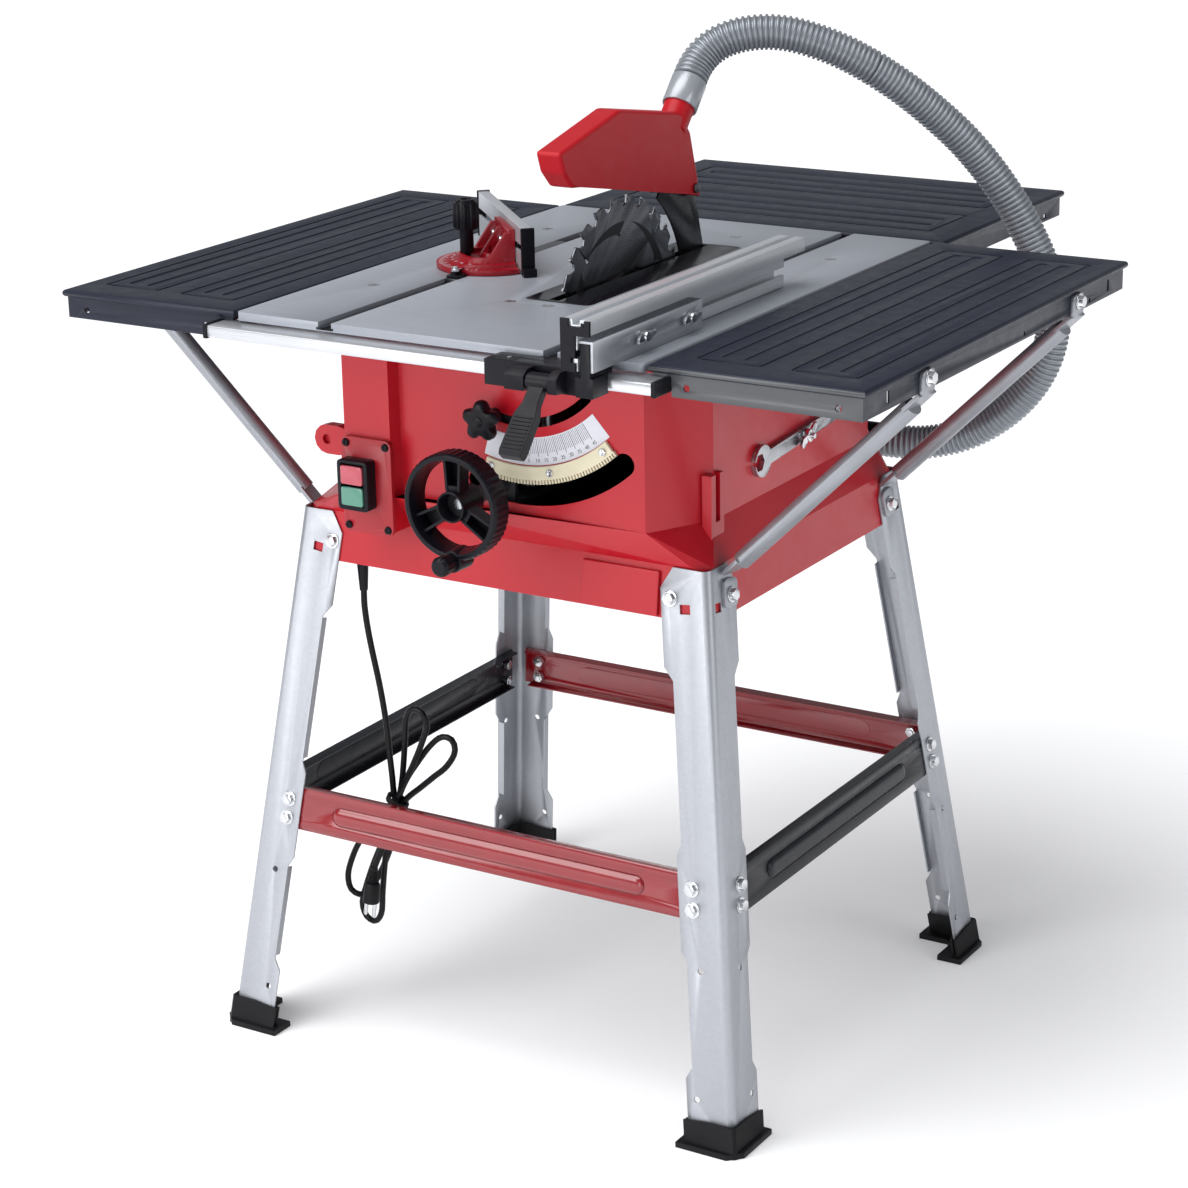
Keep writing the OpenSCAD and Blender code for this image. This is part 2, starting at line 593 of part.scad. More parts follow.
module crank_grip() color("black") at_wheel() translate([0, 0, -rim_r - 1]) {
    rotate([-90, 0, 0]) rotate_extrude() polygon([[0, -304], [7, -304], [11, -300], [10.5, -290], [9, -283],
        [9, -281], [0, -281]]);
    rod_y(-282, 30, 8);
    rod_y(-254, 3, 13);
}
module tilt_lock_knob() color("black") on_tilt() at_arc(lock_r, lock_a) {
    difference() {
        union() {
            rod_y(-222, 14, 26);
            rod_y(-208, 15.6, 16);
            for (k = [0:4]) rotate([0, k * 72, 0]) translate([0, 0, -13]) rod_y(-225, 15, 13);
        }
        rod_y(-230, 4, 8);
    }
    rod_y(-195, 26, 8);
}

// ---- Carriage, motor and gears ----
carriage_x = [-34, -24];
pinion_dy = 18;
pinion_dz = -24;
gear_teeth = 22;
pinion_teeth = 8;
gear_module = 2;
gear_x = -21;
gear_w = 8;
knife_half = 1.25;
module carriage() color("slategray") on_tilt() difference() {
    union() {
        yz(carriage_x[0], 10) polygon([[-104, -90], [186, -90], [186, -28], [158, -28], [150, -18],
            [-70, -18], [-78, -28], [-104, -28]]);
        for (y = column_ys) translate([column_x, y, -90]) cylinder(d = 28, h = 66);
        translate([beam[0], screw_y - 15, -80]) cube([30, 34, 36]);
        translate([carriage_x[1], 150, -82]) cube([blade_x - tilt_x - knife_half - carriage_x[1], 35, 40]);
    }
    for (y = column_ys) translate([column_x, y, -100]) cylinder(d = 16.1, h = 90);
    translate([screw_x, screw_y, -100]) cylinder(d = 12.8, h = 90);
    translate([0, arbor_y, -arbor_drop]) rod_x(-40, 20, 20.1);
    translate([0, arbor_y + pinion_dy, -arbor_drop + pinion_dz]) rod_x(-40, 20, 21);
    for (y = [158, 178]) translate([0, y, -62]) rod_x(-50, 60, 8.1);
}
module motor() color("dimgray") on_tilt() translate([0, arbor_y + pinion_dy, -arbor_drop + pinion_dz]) difference() {
    union() {
        rod_x(-150, 116, 84);
        rod_x(-42, 8, 92);
        rod_x(-166, 22, 90);
        for (k = [0:11]) rotate([k * 30, 0, 0]) translate([-144, -2, 38]) cube([102, 4, 7]);
    }
    rod_x(-62, 40, 10.1);
    for (k = [0:7]) rotate([k * 45, 0, 0]) translate([-170, 16, -3]) cube([10, 20, 6]);
}
// Straight spur gear along +X, a tooth pointing along the angle a.
module spur(x, w, n, a) {
    r = n * gear_module / 2;
    yz(x, w) {
        circle(r - 2.1);
        for (k = [0:n - 1]) rotate(a + k * 360 / n)
            polygon([[r - 3, -1.5], [r + 1.5, -0.5], [r + 1.5, 0.5], [r - 3, 1.5]]);
    }
}
mesh_angle = atan2(pinion_dz, pinion_dy);
function tangent_quad(r1, r2) = let (
    l = norm([pinion_dy, pinion_dz]),
    u = [pinion_dy, pinion_dz] / l,
    n = [-u[1], u[0]],
    s = (r1 - r2) / l,
    c = sqrt(1 - s * s)) [r1 * (n * c + u * s), -r1 * (n * c - u * s),
    [pinion_dy, pinion_dz] - r2 * (n * c - u * s), [pinion_dy, pinion_dz] + r2 * (n * c + u * s)];
module case_outline(t) {
    circle(27 - t);
    translate([pinion_dy, pinion_dz]) circle(14 - t);
    polygon(tangent_quad(26.9 - t, 13.9 - t));
}
module gear_case() color("gray") on_tilt() translate([0, arbor_y, -arbor_drop]) difference() {
    yz(carriage_x[1], 16) case_outline(0);
    yz(carriage_x[1] - 1, 14.5) case_outline(2.4);
    rod_x(-20, 20, 21);
}
module motor_pinion() color("silver") on_tilt() translate([0, arbor_y + pinion_dy, -arbor_drop + pinion_dz]) {
    rod_x(-60, 60 + gear_x, 10);
    spur(gear_x, gear_w, pinion_teeth, mesh_angle + 180 + 180 / pinion_teeth);
}
module arbor() color("silver") on_tilt() translate([0, arbor_y, -arbor_drop]) {
    rod_x(carriage_x[0] + 0.5, gear_x - carriage_x[0], 20);
    spur(gear_x, gear_w, gear_teeth, mesh_angle);
    rod_x(gear_x + gear_w - 0.5, 9, 20);
    rod_x(-5, 18, 16);
}
module blade_flanges() color("gray") on_arbor() {
    difference() {
        union() {
            rod_x(-blade_t / 2 - 4, 4, 50);
            rod_x(-blade_t / 2, blade_t - 0.2, 29.96);
        }
        rod_x(-10, 20, 16.02);
    }
    difference() {
        rod_x(blade_t / 2, 3, 50);
        rod_x(-10, 20, 16.02);
    }
    difference() {
        translate([blade_t / 2 + 3, 0, 0]) rotate([0, 90, 0]) cylinder(d = 27, h = 6.5, $fn = 6);
        rod_x(0, 20, 16.02);
    }
}
tooth_a = 5.8;
module blade() color("gainsboro") on_arbor() {
    r = blade_d / 2;
    difference() {
        rod_x(-blade_t / 2, blade_t, blade_d - 4);
        rod_x(-5, 10, 30);
        for (k = [0:teeth - 1]) rotate([-tooth_a - k * 360 / teeth, 0, 0]) yz(-5, 10) {
            polygon([[1.2, r + 3], [1.8, r - 9], [-3, r - 13], [-8, r - 11], [-13, r - 3], [-20, r - 1.4],
                [-24, r + 3]]);
        }
        for (k = [0:3]) rotate([45 + k * 90, 0, 0]) {
            translate([-5, -0.8, r - 30]) cube([10, 1.6, 40]);
            translate([0, 0, r - 30]) rod_x(-5, 10, 5);
        }
    }
    for (k = [0:teeth - 1]) rotate([-tooth_a - k * 360 / teeth, 0, 0]) yz(-kerf / 2, kerf)
        polygon([[1.6, r], [2.1, r - 7], [4.6, r - 6], [5.2, r - 1]]);
}

// ---- Riving knife and guard ----
knife_r = blade_d / 2 + 6;
pivot = [146, 71];
function arc_pts(c, r, a1, a2, n) = [for (k = [0:n]) let (a = a1 + (a2 - a1) * k / n)
    [c[0] + r * cos(a), c[1] + r * sin(a)]];
module riving_knife() color("black") on_table() difference() {
    yz(blade_x - knife_half, 2 * knife_half) polygon(concat([[142, -82], [187, -82], [187, -2], [170, 57],
        [160, 80], [140, 90], [104, 90]], arc_pts([arbor_y, -arbor_drop], knife_r + 2, 54, -10, 10)));
    translate([0, pivot[0], pivot[1]]) rod_x(0, 40, 8.1);
    for (y = [158, 178]) translate([0, y, -62]) rod_x(0, 40, 8.1);
}
module knife_bolts() color("lightsteelblue") {
    on_table() for (y = [158, 178]) translate([blade_x + knife_half, y, -62]) rotate([0, 90, 0]) {
        cylinder(d = 13, h = 5, $fn = 6);
        translate([0, 0, -22]) cylinder(d = 8, h = 23);
    }
    on_table() translate([blade_x, pivot[0], pivot[1]]) {
        rod_x(-18, 36, 6);
        for (x = [-18, 15.3]) rod_x(x, 2.7, 11);
        rod_x(-1.2, 2.4, 8);
    }
}
guard_pts = [[-129, 132], [-105, 113.5], [-87, 111], [159, 61], [138, 133], [132, 140], [115, 158], [-10, 179],
    [-128, 152]];
guard_w = 30;
spout = [133, 153];
spout_lean = 42.1;
module at_spout() on_table() translate([blade_x, spout[0], spout[1]]) rotate([-spout_lean, 0, 0]) children();
module guard_shell() color("crimson") difference() {
    union() {
        on_table() yz(blade_x - guard_w / 2, guard_w) polygon(guard_pts);
        at_spout() rod_z(-22, 58, 34);
    }
    on_table() for (dz = [0, -7]) translate([0, 0, dz]) yz(blade_x - guard_w / 2 + 2.5, guard_w - 5)
        polygon(inset(guard_pts, 2.5));
    on_table() translate([blade_x - guard_w / 2 + 2.5, 128, 40]) cube([guard_w - 5, 60, 66]);
    on_table() translate([0, pivot[0], pivot[1]]) rod_x(0, 40, 6.1);
    at_spout() rod_z(-16, 80, 29);
}
module guard_cuff() color("lightgray") at_spout() difference() {
    rod_z(8, 34, 39);
    rod_z(7, 29, 34);
    rod_z(30, 20, 30);
}

// ---- Rip fence ----
fence_x = 187;
fence_y0 = -372;
fence_y1 = fence_y0 + fence_l;
wing_ys = [-280, -192];
wing_z = 17;
module fence_carrier() color("black") on_table() difference() {
    union() {
        yz(83, 124) polygon([[-348, -30], [-324, -30], [-324, -24.6], [-338.6, -24.6], [-338.6, -10.9],
            [-317, -10.9], [-317, -5], [-348, -5]]);
        for (x = [[118, 21.8], [166.2, 9.8]]) yz(x[0], x[1])
            polygon([[-368, -26], [-346, -28], [-346, -6], [-360, -6], [-368, -12]]);
        translate([0, -358, -18]) rod_x(118, 58, 6);
        translate([200, -372, -24]) cube([19, 27, 19]);
        translate([206, -372, -10]) cube([10, 27, 37.1]);
    }
    for (x = [96, 186]) translate([x, -332, -12]) cylinder(d = 5, h = 10);
}
module fence_bracket() color("silver") on_table() difference() {
    yz(203.4, 15.6) polygon([[-371, 0.6], [-165, 0.6], [-165, 30], [-371, 30]]);
    translate([200, -380, -1]) cube([16.4, 230, 28.5]);
    for (y = wing_ys) translate([0, y, wing_z]) rod_x(200, 30, 6.6);
}
module fence_lever() color("black") on_table() translate([0, -358, -18]) difference() {
    union() {
        rod_x(140.4, 25.2, 18);
        rotate([-41, 0, 0]) yz(140.4, 25.2) polygon([[-4.5, 0], [-5.5, -30], [-7, -74], [-4, -82], [3, -82],
            [5, -74], [4.5, 0]]);
    }
    rod_x(130, 50, 6.1);
    rotate([-41, 0, 0]) for (k = [0:8]) translate([138, -9, -78 + 5 * k]) cube([30, 3.4, 2]);
}
module fence_profile() color("gainsboro") on_table() difference() {
    union() {
        xz(fence_y0, fence_l - 20) polygon([[fence_x, 1], [fence_x + 16, 1], [fence_x + 16, 37], [fence_x, 37]]);
        xz(fence_y0, fence_l) polygon([[fence_x, 36], [fence_x + 30, 36], [fence_x + 30, 50], [fence_x, 50]]);
    }
    xz(fence_y0 - 1, fence_l + 2) {
        translate([fence_x + 11, 45]) square([8, 6]);
        translate([fence_x + 9, 13]) square([8, 8]);
        translate([fence_x + 4.5, 9]) square([6.5, 16]);
        translate([fence_x + 20, 39]) square([7, 8]);
        translate([fence_x + 2, 28]) square([12, 6]);
    }
}
module fence_end_cap() color("black") on_table() xz(fence_y0 - 3, 3) polygon([[fence_x - 1, 0.8],
    [fence_x + 16, 0.8], [fence_x + 16, 35], [fence_x + 31, 35], [fence_x + 31, 51], [fence_x - 1, 51]]);
// Wing bolt along +X: a round head in a groove, a spacing collar, and a winged end of radius w.
module wing_bolt(head_x, collar, hub, w) {
    rod_x(head_x, 3.4, 14);
    rod_x(head_x + 3, 2 + hub - head_x, 6);
    if (collar[1] > 0) rod_x(collar[0], collar[1], 12);
    rod_x(hub, 7, 12);
    for (a = [0, 180]) rotate([a, 0, 0]) yz(hub + 2.4, 3)
        polygon([[4, -3], [w - 4, -3.5], [w, 0], [w, 4], [w - 4, 5], [4, 2.5]]);
}
module fence_wing_bolt(k) color("silver") on_table() translate([0, wing_ys[k], wing_z])
    wing_bolt(fence_x + 5.6, [fence_x + 16.4, 12.9], 219.4, 16);
module fence_wing_bolt_front() fence_wing_bolt(0);
module fence_wing_bolt_rear() fence_wing_bolt(1);

// ---- Mitre gauge ----
mitre_x = -129;
mitre_y = -8;
mitre_fence_x = 19;
mitre_fence_y0 = 47 - mitre_l / 2;
mitre_wing_ys = [-14.5, 22.5];
mitre_wing_z = 28;
module at_mitre() on_table() translate([mitre_x, mitre_y, 0]) children();
module at_mitre_fence() at_mitre() rotate([0, 0, mitre_rest]) children();
module mitre_bar() color("dimgray") on_table() {
    translate([mitre_x - slot_w / 2 + 0.4, -88, -7.7]) cube([slot_w - 0.8, 220, 7.7]);
    translate([mitre_x - slot_w / 2 - 2.1, -88, -7.7]) cube([slot_w + 4.2, 220, 2.1]);
    translate([mitre_x, mitre_y, -1]) cylinder(d = 8, h = 13);
}
module mitre_head() color("firebrick") at_mitre_fence() difference() {
    union() {
        rod_z(0.6, 5.4, 120);
        rod_z(5, 4, 94);
        difference() {
            rod_z(8, 6, 72);
            rod_z(7, 8, 60);
        }
        rod_z(8, 6, 20);
        translate([12.4, -34, 5]) cube([6, 76, 39]);
        for (y = [-34, 3, 36]) xz(y, 6) polygon([[-14, 8], [13, 8], [13, 40], [8, 40]]);
    }
    rod_z(0, 20, 8.1);
    translate([-25.5, 8.5, 2.5]) cylinder(d = 8.4, h = 20);
    for (y = mitre_wing_ys) translate([0, y, mitre_wing_z]) rod_x(0, 30, 6.6);
    translate([17.7, -80, 0]) cube([80, 160, 15]);
    for (k = [-5:5]) rotate([0, 0, -135 + k * 9]) translate([52, -0.4, 5.4]) cube([5, 0.8, 2]);
}
module mitre_fence() color("gainsboro") at_mitre_fence() translate([mitre_fence_x, mitre_fence_y0, 0]) {
    difference() {
        translate([0, 0, 1]) cube([12, mitre_l, 49]);
        translate([-1, -1, mitre_wing_z - 4]) cube([5, mitre_l + 2, 8]);
        translate([3, -1, mitre_wing_z - 8]) cube([5, mitre_l + 2, 16]);
        for (z = [[4, 9], [39, 7]]) translate([2, -1, z[0]]) cube([8, mitre_l + 2, z[1]]);
    }
    for (y = [-3, mitre_l]) translate([-1, y, 0.6]) cube([14, 3, 50.4]);
    translate([-1, -12, 0.6]) cube([14, 9, 8]);
}
module mitre_wing_bolt(k) color("silver") at_mitre_fence() translate([31, mitre_wing_ys[k], mitre_wing_z])
    rotate([0, 0, 180]) wing_bolt(4.7, [0, 0], 19, 12);
module mitre_wing_bolt_left() mitre_wing_bolt(1);
module mitre_wing_bolt_right() mitre_wing_bolt(0);
module mitre_knob() color("black") at_mitre_fence() translate([-25.5, 8.5, 0]) difference() {
    union() {
        rod_z(3, 20, 8);
        rod_z(14.3, 27, 15);
        rod_z(40, 30, 25);
        rod_z(69.9, 2.1, 20);
        for (k = [0:9]) rotate([0, 0, 36 * k]) translate([12.3, 0, 42]) cylinder(d = 4, h = 26);
    }
    rod_z(70, 3, 12);
}

// ---- Dust outlet, spanners, cord and hose ----
elbow_y = 335;
branch_z = 610;
branch_end = 165;
hose_d = 38;
module dust_outlet() color("black") on_floor() difference() {
    union() {
        translate([port[0], 0, port[1]]) rod_y(297, 88, port_d);
        translate([port[0], 0, port[1]]) rod_y(297, 58, port_d + 3);
        translate([port[0], elbow_y, branch_z]) cylinder(d = hose_d, h = port[1] - branch_z);
        translate([port[0], elbow_y, branch_z]) sphere(d = hose_d);
        translate([0, elbow_y, branch_z]) rod_x(port[0], branch_end - port[0], hose_d);
        xz(297, 3) translate(port) polygon(rounded(-58, -58, 58, 58, 8, 30));
    }
    translate([port[0], 0, port[1]]) rod_y(290, 110, 94);
    translate([port[0], elbow_y, branch_z]) cylinder(d = 32, h = 60);
    translate([port[0], elbow_y, branch_z]) sphere(d = 32);
    translate([0, elbow_y, branch_z]) rod_x(port[0], 100, 32);
    for (sx = [-1, 1], sz = [-1, 1]) translate([port[0] + sx * 50, 290, port[1] + sz * 50]) rod_y(0, 20, 4.4);
}
spanner_y = [-28, 148];
spanner_z = 685;
stud_y = 69;
module spanner_plate(x, drop) yz(x, 3) difference() {
    union() {
        polygon([[spanner_y[0], -10 - drop], [spanner_y[1], 4 - drop], [spanner_y[1] + 4, 18 - drop],
            [spanner_y[0] + 4, 6 - drop]]);
        translate([spanner_y[0] + 4, -2 - drop]) circle(17);
    }
    translate([spanner_y[0] - 4, -2 - drop]) circle(10, $fn = 6);
    translate([stud_y, 4]) circle(3.4);
}
module spanners() color("silver") on_floor() translate([0, 0, spanner_z - 4]) {
    spanner_plate(205, 0);
    spanner_plate(208.2, 0);
}
module spanner_wing_nut() color("silver") on_floor() translate([0, stud_y, spanner_z]) {
    rod_x(211.4, 7, 14);
    for (a = [20, 200]) rotate([a, 0, 0]) yz(214, 3) polygon([[4, -3], [14, -4], [19, 0], [19, 5], [14, 6], [4, 3]]);
    rod_x(205.2, 18, 6);
}
gland_z = 549;
relief_l = 32;
module cord_gland() color("black") on_floor() translate([gland[0], gland[1], gland_z]) {
    cylinder(d = 22, h = 4);
    translate([0, 0, -4]) cylinder(d = 12, h = 5);
    translate([0, 0, -8]) cylinder(d = 20, h = 5);
    translate([0, 0, -8 - relief_l]) cylinder(d1 = 9, d2 = 13, h = relief_l);
}

// Tube of n sides swept along hand-picked points; each ring is square to the path there, and ref is a
// direction that the path never runs along.
function unit(v) = v / norm(v);
function tube_ring(p, i, r, n, ref) = let (
    d = unit(p[min(i + 1, len(p) - 1)] - p[max(i - 1, 0)]),
    side = unit(cross(d, ref)),
    up = cross(side, d)) [for (k = [0:n - 1]) p[i] + r * (cos(360 * k / n) * side + sin(360 * k / n) * up)];
module tube(p, r, n, ref) polyhedron(
    points = [for (i = [0:len(p) - 1]) each tube_ring(p, i, r, n, ref)],
    faces = concat([[for (k = [0:n - 1]) k]],
        [for (i = [0:len(p) - 2], k = [0:n - 1]) [i * n + k, i * n + n + k, i * n + n + (k + 1) % n]],
        [for (i = [0:len(p) - 2], k = [0:n - 1]) [i * n + k, i * n + n + (k + 1) % n, i * n + (k + 1) % n]],
        [[for (k = [n - 1:-1:0]) (len(p) - 1) * n + k]]));
cord_d = 7;
cord_pts = [[-215, -150, 509], [-214, -150, 490], [-210, -150, 465], [-206, -150, 440], [-201, -150, 415],
    [-197, -150, 390], [-193, -150, 365], [-190, -150, 345], [-187, -150, 326]];
hank_mid = [-188, -150, 250];
hank_lean = 25;
hank_l = 270;
hank_w = 62;
hank_t = 20;
module power_cord() color("black") on_floor() tube(cord_pts, cord_d / 2, 8, [0, 1, 0]);
module cord_hank() color("black") on_floor() translate(hank_mid) rotate([0, hank_lean, 0]) xz(-hank_t / 2, hank_t)
    polygon(rounded(-hank_w / 2, -hank_l / 2, hank_w / 2, hank_l / 2, hank_w / 2 - 0.1, 15));
plug_at = [-213, -169.6, 184];
module plug() color("black") on_floor() translate(plug_at) rotate([0, 4, 0]) {
    rotate([180, 0, 0]) {
        cylinder(d1 = 8, d2 = 12, h = 16);
        translate([0, 0, 15.9]) cylinder(d1 = 16, d2 = 20, h = 24);
        translate([0, 0, 39.8]) cylinder(d = 20, h = 8);
        for (x = [-6, 6]) translate([x, 0, 47]) cylinder(d = 4, h = 18);
    }
}
hose_pts = [[21, 162.1, 1035.7], [22, 174, 1049], [30, 187, 1064], [48, 200, 1076], [74, 214, 1082],
    [102, 228, 1081], [130, 242, 1073], [158, 258, 1060], [185, 276, 1042], [212, 294, 1020], [238, 313, 994],
    [264, 331, 965], [287, 347, 933], [308, 361, 898], [326, 373, 861], [342, 382, 822], [353, 387, 783],
    [355, 388, 744], [346, 386, 706], [326, 381, 671], [297, 373, 642], [263, 362, 621], [228, 349, 611],
    [196, 339, 609], [165.3, 335, 610]];
module extraction_hose() color("silver") on_floor() tube(hose_pts, hose_d / 2, 12, [-0.6, 0.8, 0]);

cabinet();
cabinet_base();
main_table();
table_insert();
left_extension();
right_extension();
rear_extension();
extension_struts();
front_rail();
legs();
rubber_feet();
cross_braces();
side_braces();
frame_bolts();
machine_screws();
switch_plate();
switch_box();
stop_button();
start_button();
tilt_rack();
trunnion_brackets();
dust_outlet();
spanners();
spanner_wing_nut();
cord_gland();
power_cord();
cord_hank();
plug();
extraction_hose();
tilt_frame();
guide_columns();
handwheel_shaft();
handwheel();
crank_grip();
tilt_lock_knob();
lead_screw();
carriage();
motor();
gear_case();
riving_knife();
knife_bolts();
motor_pinion();
arbor();
blade();
blade_flanges();
guard_shell();
guard_cuff();
fence_carrier();
fence_bracket();
fence_lever();
fence_profile();
fence_end_cap();
fence_wing_bolt_front();
fence_wing_bolt_rear();
mitre_bar();
mitre_head();
mitre_fence();
mitre_wing_bolt_left();
mitre_wing_bolt_right();
mitre_knob();
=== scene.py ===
"""Table saw on a four-leg stand: materials, fine detail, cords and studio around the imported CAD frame."""
import math

import bmesh
import bpy
from mathutils import Matrix, Vector
from mathutils.bvhtree import BVHTree


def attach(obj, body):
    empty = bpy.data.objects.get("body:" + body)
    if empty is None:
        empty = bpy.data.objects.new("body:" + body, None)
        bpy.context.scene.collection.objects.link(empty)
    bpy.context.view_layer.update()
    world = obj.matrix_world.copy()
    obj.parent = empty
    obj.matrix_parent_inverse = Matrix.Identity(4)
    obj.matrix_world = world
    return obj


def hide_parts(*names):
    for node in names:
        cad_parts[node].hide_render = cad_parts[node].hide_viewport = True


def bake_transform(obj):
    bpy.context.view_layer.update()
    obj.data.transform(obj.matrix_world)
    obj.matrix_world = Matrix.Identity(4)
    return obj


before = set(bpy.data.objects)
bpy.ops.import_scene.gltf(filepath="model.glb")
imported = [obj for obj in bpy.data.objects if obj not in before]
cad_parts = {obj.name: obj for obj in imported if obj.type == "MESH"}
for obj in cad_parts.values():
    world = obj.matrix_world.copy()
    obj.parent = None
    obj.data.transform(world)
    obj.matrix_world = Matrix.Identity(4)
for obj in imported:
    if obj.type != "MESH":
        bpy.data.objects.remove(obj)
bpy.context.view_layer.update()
MM = 0.001
TABLE_Y = -120.6
BLADE_X = 21.0
ARBOR = (BLADE_X, 9.0, 810.0)
TILT_X = 20.0
TABLE_H = 850.0


def at(x, y, z):
    """A place measured in mm from the middle of the main table, in the row frame's metres."""
    return Vector((x * MM, (y + TABLE_Y) * MM, z * MM))


# ---- Camera ----
def make_camera():
    yaw, pitch, roll = -0.552, 0.319, -0.019
    look = Vector((math.cos(pitch) * math.sin(yaw), math.cos(pitch) * math.cos(yaw), -math.sin(pitch)))
    flat_right = Vector((math.cos(yaw), -math.sin(yaw), 0))
    flat_up = flat_right.cross(look)
    right = math.cos(roll) * flat_right + math.sin(roll) * flat_up
    up = -math.sin(roll) * flat_right + math.cos(roll) * flat_up
    data = bpy.data.cameras.new("camera")
    data.lens = 91.1
    data.sensor_width = 36.0
    data.clip_end = 30.0
    cam = bpy.data.objects.new("camera", data)
    bpy.context.scene.collection.objects.link(cam)
    turn = Matrix((right, up, -look)).transposed().to_4x4()
    cam.matrix_world = Matrix.Translation(at(1630.8, -2669.3, 1527.5)) @ turn
    bpy.context.scene.camera = cam


make_camera()


# ---- Materials ----
def link(tree, a, b):
    tree.links.new(a, b)


def new_material(name):
    mat = bpy.data.materials.new(name)
    mat.use_nodes = True
    tree = mat.node_tree
    shader = tree.nodes["Principled BSDF"]
    coord = tree.nodes.new("ShaderNodeTexCoord")
    place = tree.nodes.new("ShaderNodeMapping")
    link(tree, coord.outputs["Object"], place.inputs["Vector"])
    return mat, tree, shader, place


def noise(tree, place, scale, detail=3.0):
    node = tree.nodes.new("ShaderNodeTexNoise")
    node.inputs["Scale"].default_value = scale
    node.inputs["Detail"].default_value = detail
    link(tree, place.outputs["Vector"], node.inputs["Vector"])
    return node.outputs["Fac"]


def spread(tree, value, low, high):
    """Maps the middle of a noise onto low..high."""
    node = tree.nodes.new("ShaderNodeMapRange")
    node.inputs["From Min"].default_value = 0.3
    node.inputs["From Max"].default_value = 0.7
    node.inputs["To Min"].default_value = low
    node.inputs["To Max"].default_value = high
    link(tree, value, node.inputs["Value"])
    return node.outputs["Result"]


def tinted(tree, value, dark, light):
    node = tree.nodes.new("ShaderNodeMix")
    node.data_type = "RGBA"
    node.inputs["A"].default_value = (*dark, 1)
    node.inputs["B"].default_value = (*light, 1)
    link(tree, value, node.inputs["Factor"])
    return node.outputs["Result"]


def surface(name, base, rough, metal=0.0, coat=0.0, tone=(30, 0.06), vary=(60, 0.05),
            bump=(900, 0.15, 0.0001), stretch=(1, 1, 1), turn=0.0, specular=0.5):
    """Painted, moulded, rolled or extruded finish: tone and gloss wander, and a fine bump gives the texture.
    stretch draws the noises out along an axis, for extrusion and grinding lines."""
    mat, tree, shader, place = new_material(name)
    place.inputs["Scale"].default_value = stretch
    place.inputs["Rotation"].default_value = (0, 0, turn)
    shader.inputs["Metallic"].default_value = metal
    shader.inputs["Specular IOR Level"].default_value = specular
    shader.inputs["Coat Weight"].default_value = coat
    shader.inputs["Coat Roughness"].default_value = 0.12
    dark = [c * (1 - tone[1]) for c in base]
    light = [min(c * (1 + tone[1]), 1.0) for c in base]
    wander = spread(tree, noise(tree, place, tone[0]), 0.0, 1.0)
    link(tree, tinted(tree, wander, dark, light), shader.inputs["Base Color"])
    gloss = spread(tree, noise(tree, place, vary[0], 4.0), rough - vary[1], rough + vary[1])
    link(tree, gloss, shader.inputs["Roughness"])
    relief = tree.nodes.new("ShaderNodeBump")
    relief.inputs["Strength"].default_value = bump[1]
    relief.inputs["Distance"].default_value = bump[2]
    link(tree, noise(tree, place, bump[0], 2.0), relief.inputs["Height"])
    link(tree, relief.outputs["Normal"], shader.inputs["Normal"])
    return mat


def spangled(name, base, rough):
    """Zinc-coated sheet: small crystals of slightly different tone and gloss."""
    mat, tree, shader, place = new_material(name)
    shader.inputs["Metallic"].default_value = 0.85
    cells = tree.nodes.new("ShaderNodeTexVoronoi")
    cells.inputs["Scale"].default_value = 260
    link(tree, place.outputs["Vector"], cells.inputs["Vector"])
    level = tree.nodes.new("ShaderNodeSeparateColor")
    link(tree, cells.outputs["Color"], level.inputs["Color"])
    dark = [c * 0.975 for c in base]
    light = [min(c * 1.02, 1) for c in base]
    link(tree, tinted(tree, level.outputs["Red"], dark, light), shader.inputs["Base Color"])
    gloss = spread(tree, level.outputs["Green"], rough - 0.02, rough + 0.02)
    link(tree, gloss, shader.inputs["Roughness"])
    relief = tree.nodes.new("ShaderNodeBump")
    relief.inputs["Strength"].default_value = 0.05
    relief.inputs["Distance"].default_value = 0.0001
    link(tree, noise(tree, place, 500), relief.inputs["Height"])
    link(tree, relief.outputs["Normal"], shader.inputs["Normal"])
    return mat


def ground_disc(name, base, rough, centre):
    """Steel ground on a turntable: gloss and relief change only with the distance from centre in YZ."""
    mat, tree, shader, place = new_material(name)
    place.inputs["Location"].default_value = -centre
    shader.inputs["Metallic"].default_value = 1.0
    flat = tree.nodes.new("ShaderNodeVectorMath")
    flat.operation = "MULTIPLY"
    flat.inputs[1].default_value = (0, 1, 1)
    link(tree, place.outputs["Vector"], flat.inputs[0])
    radius = tree.nodes.new("ShaderNodeVectorMath")
    radius.operation = "LENGTH"
    link(tree, flat.outputs["Vector"], radius.inputs[0])
    rings = tree.nodes.new("ShaderNodeTexNoise")
    rings.noise_dimensions = "1D"
    rings.inputs["Scale"].default_value = 2400
    link(tree, radius.outputs["Value"], rings.inputs["W"])
    gloss = spread(tree, rings.outputs["Fac"], rough - 0.04, rough + 0.04)
    link(tree, gloss, shader.inputs["Roughness"])
    link(tree, tinted(tree, noise(tree, place, 18), [c * 0.9 for c in base], base),
         shader.inputs["Base Color"])
    relief = tree.nodes.new("ShaderNodeBump")
    relief.inputs["Strength"].default_value = 0.06
    relief.inputs["Distance"].default_value = 0.0001
    link(tree, rings.outputs["Fac"], relief.inputs["Height"])
    link(tree, relief.outputs["Normal"], shader.inputs["Normal"])
    return mat


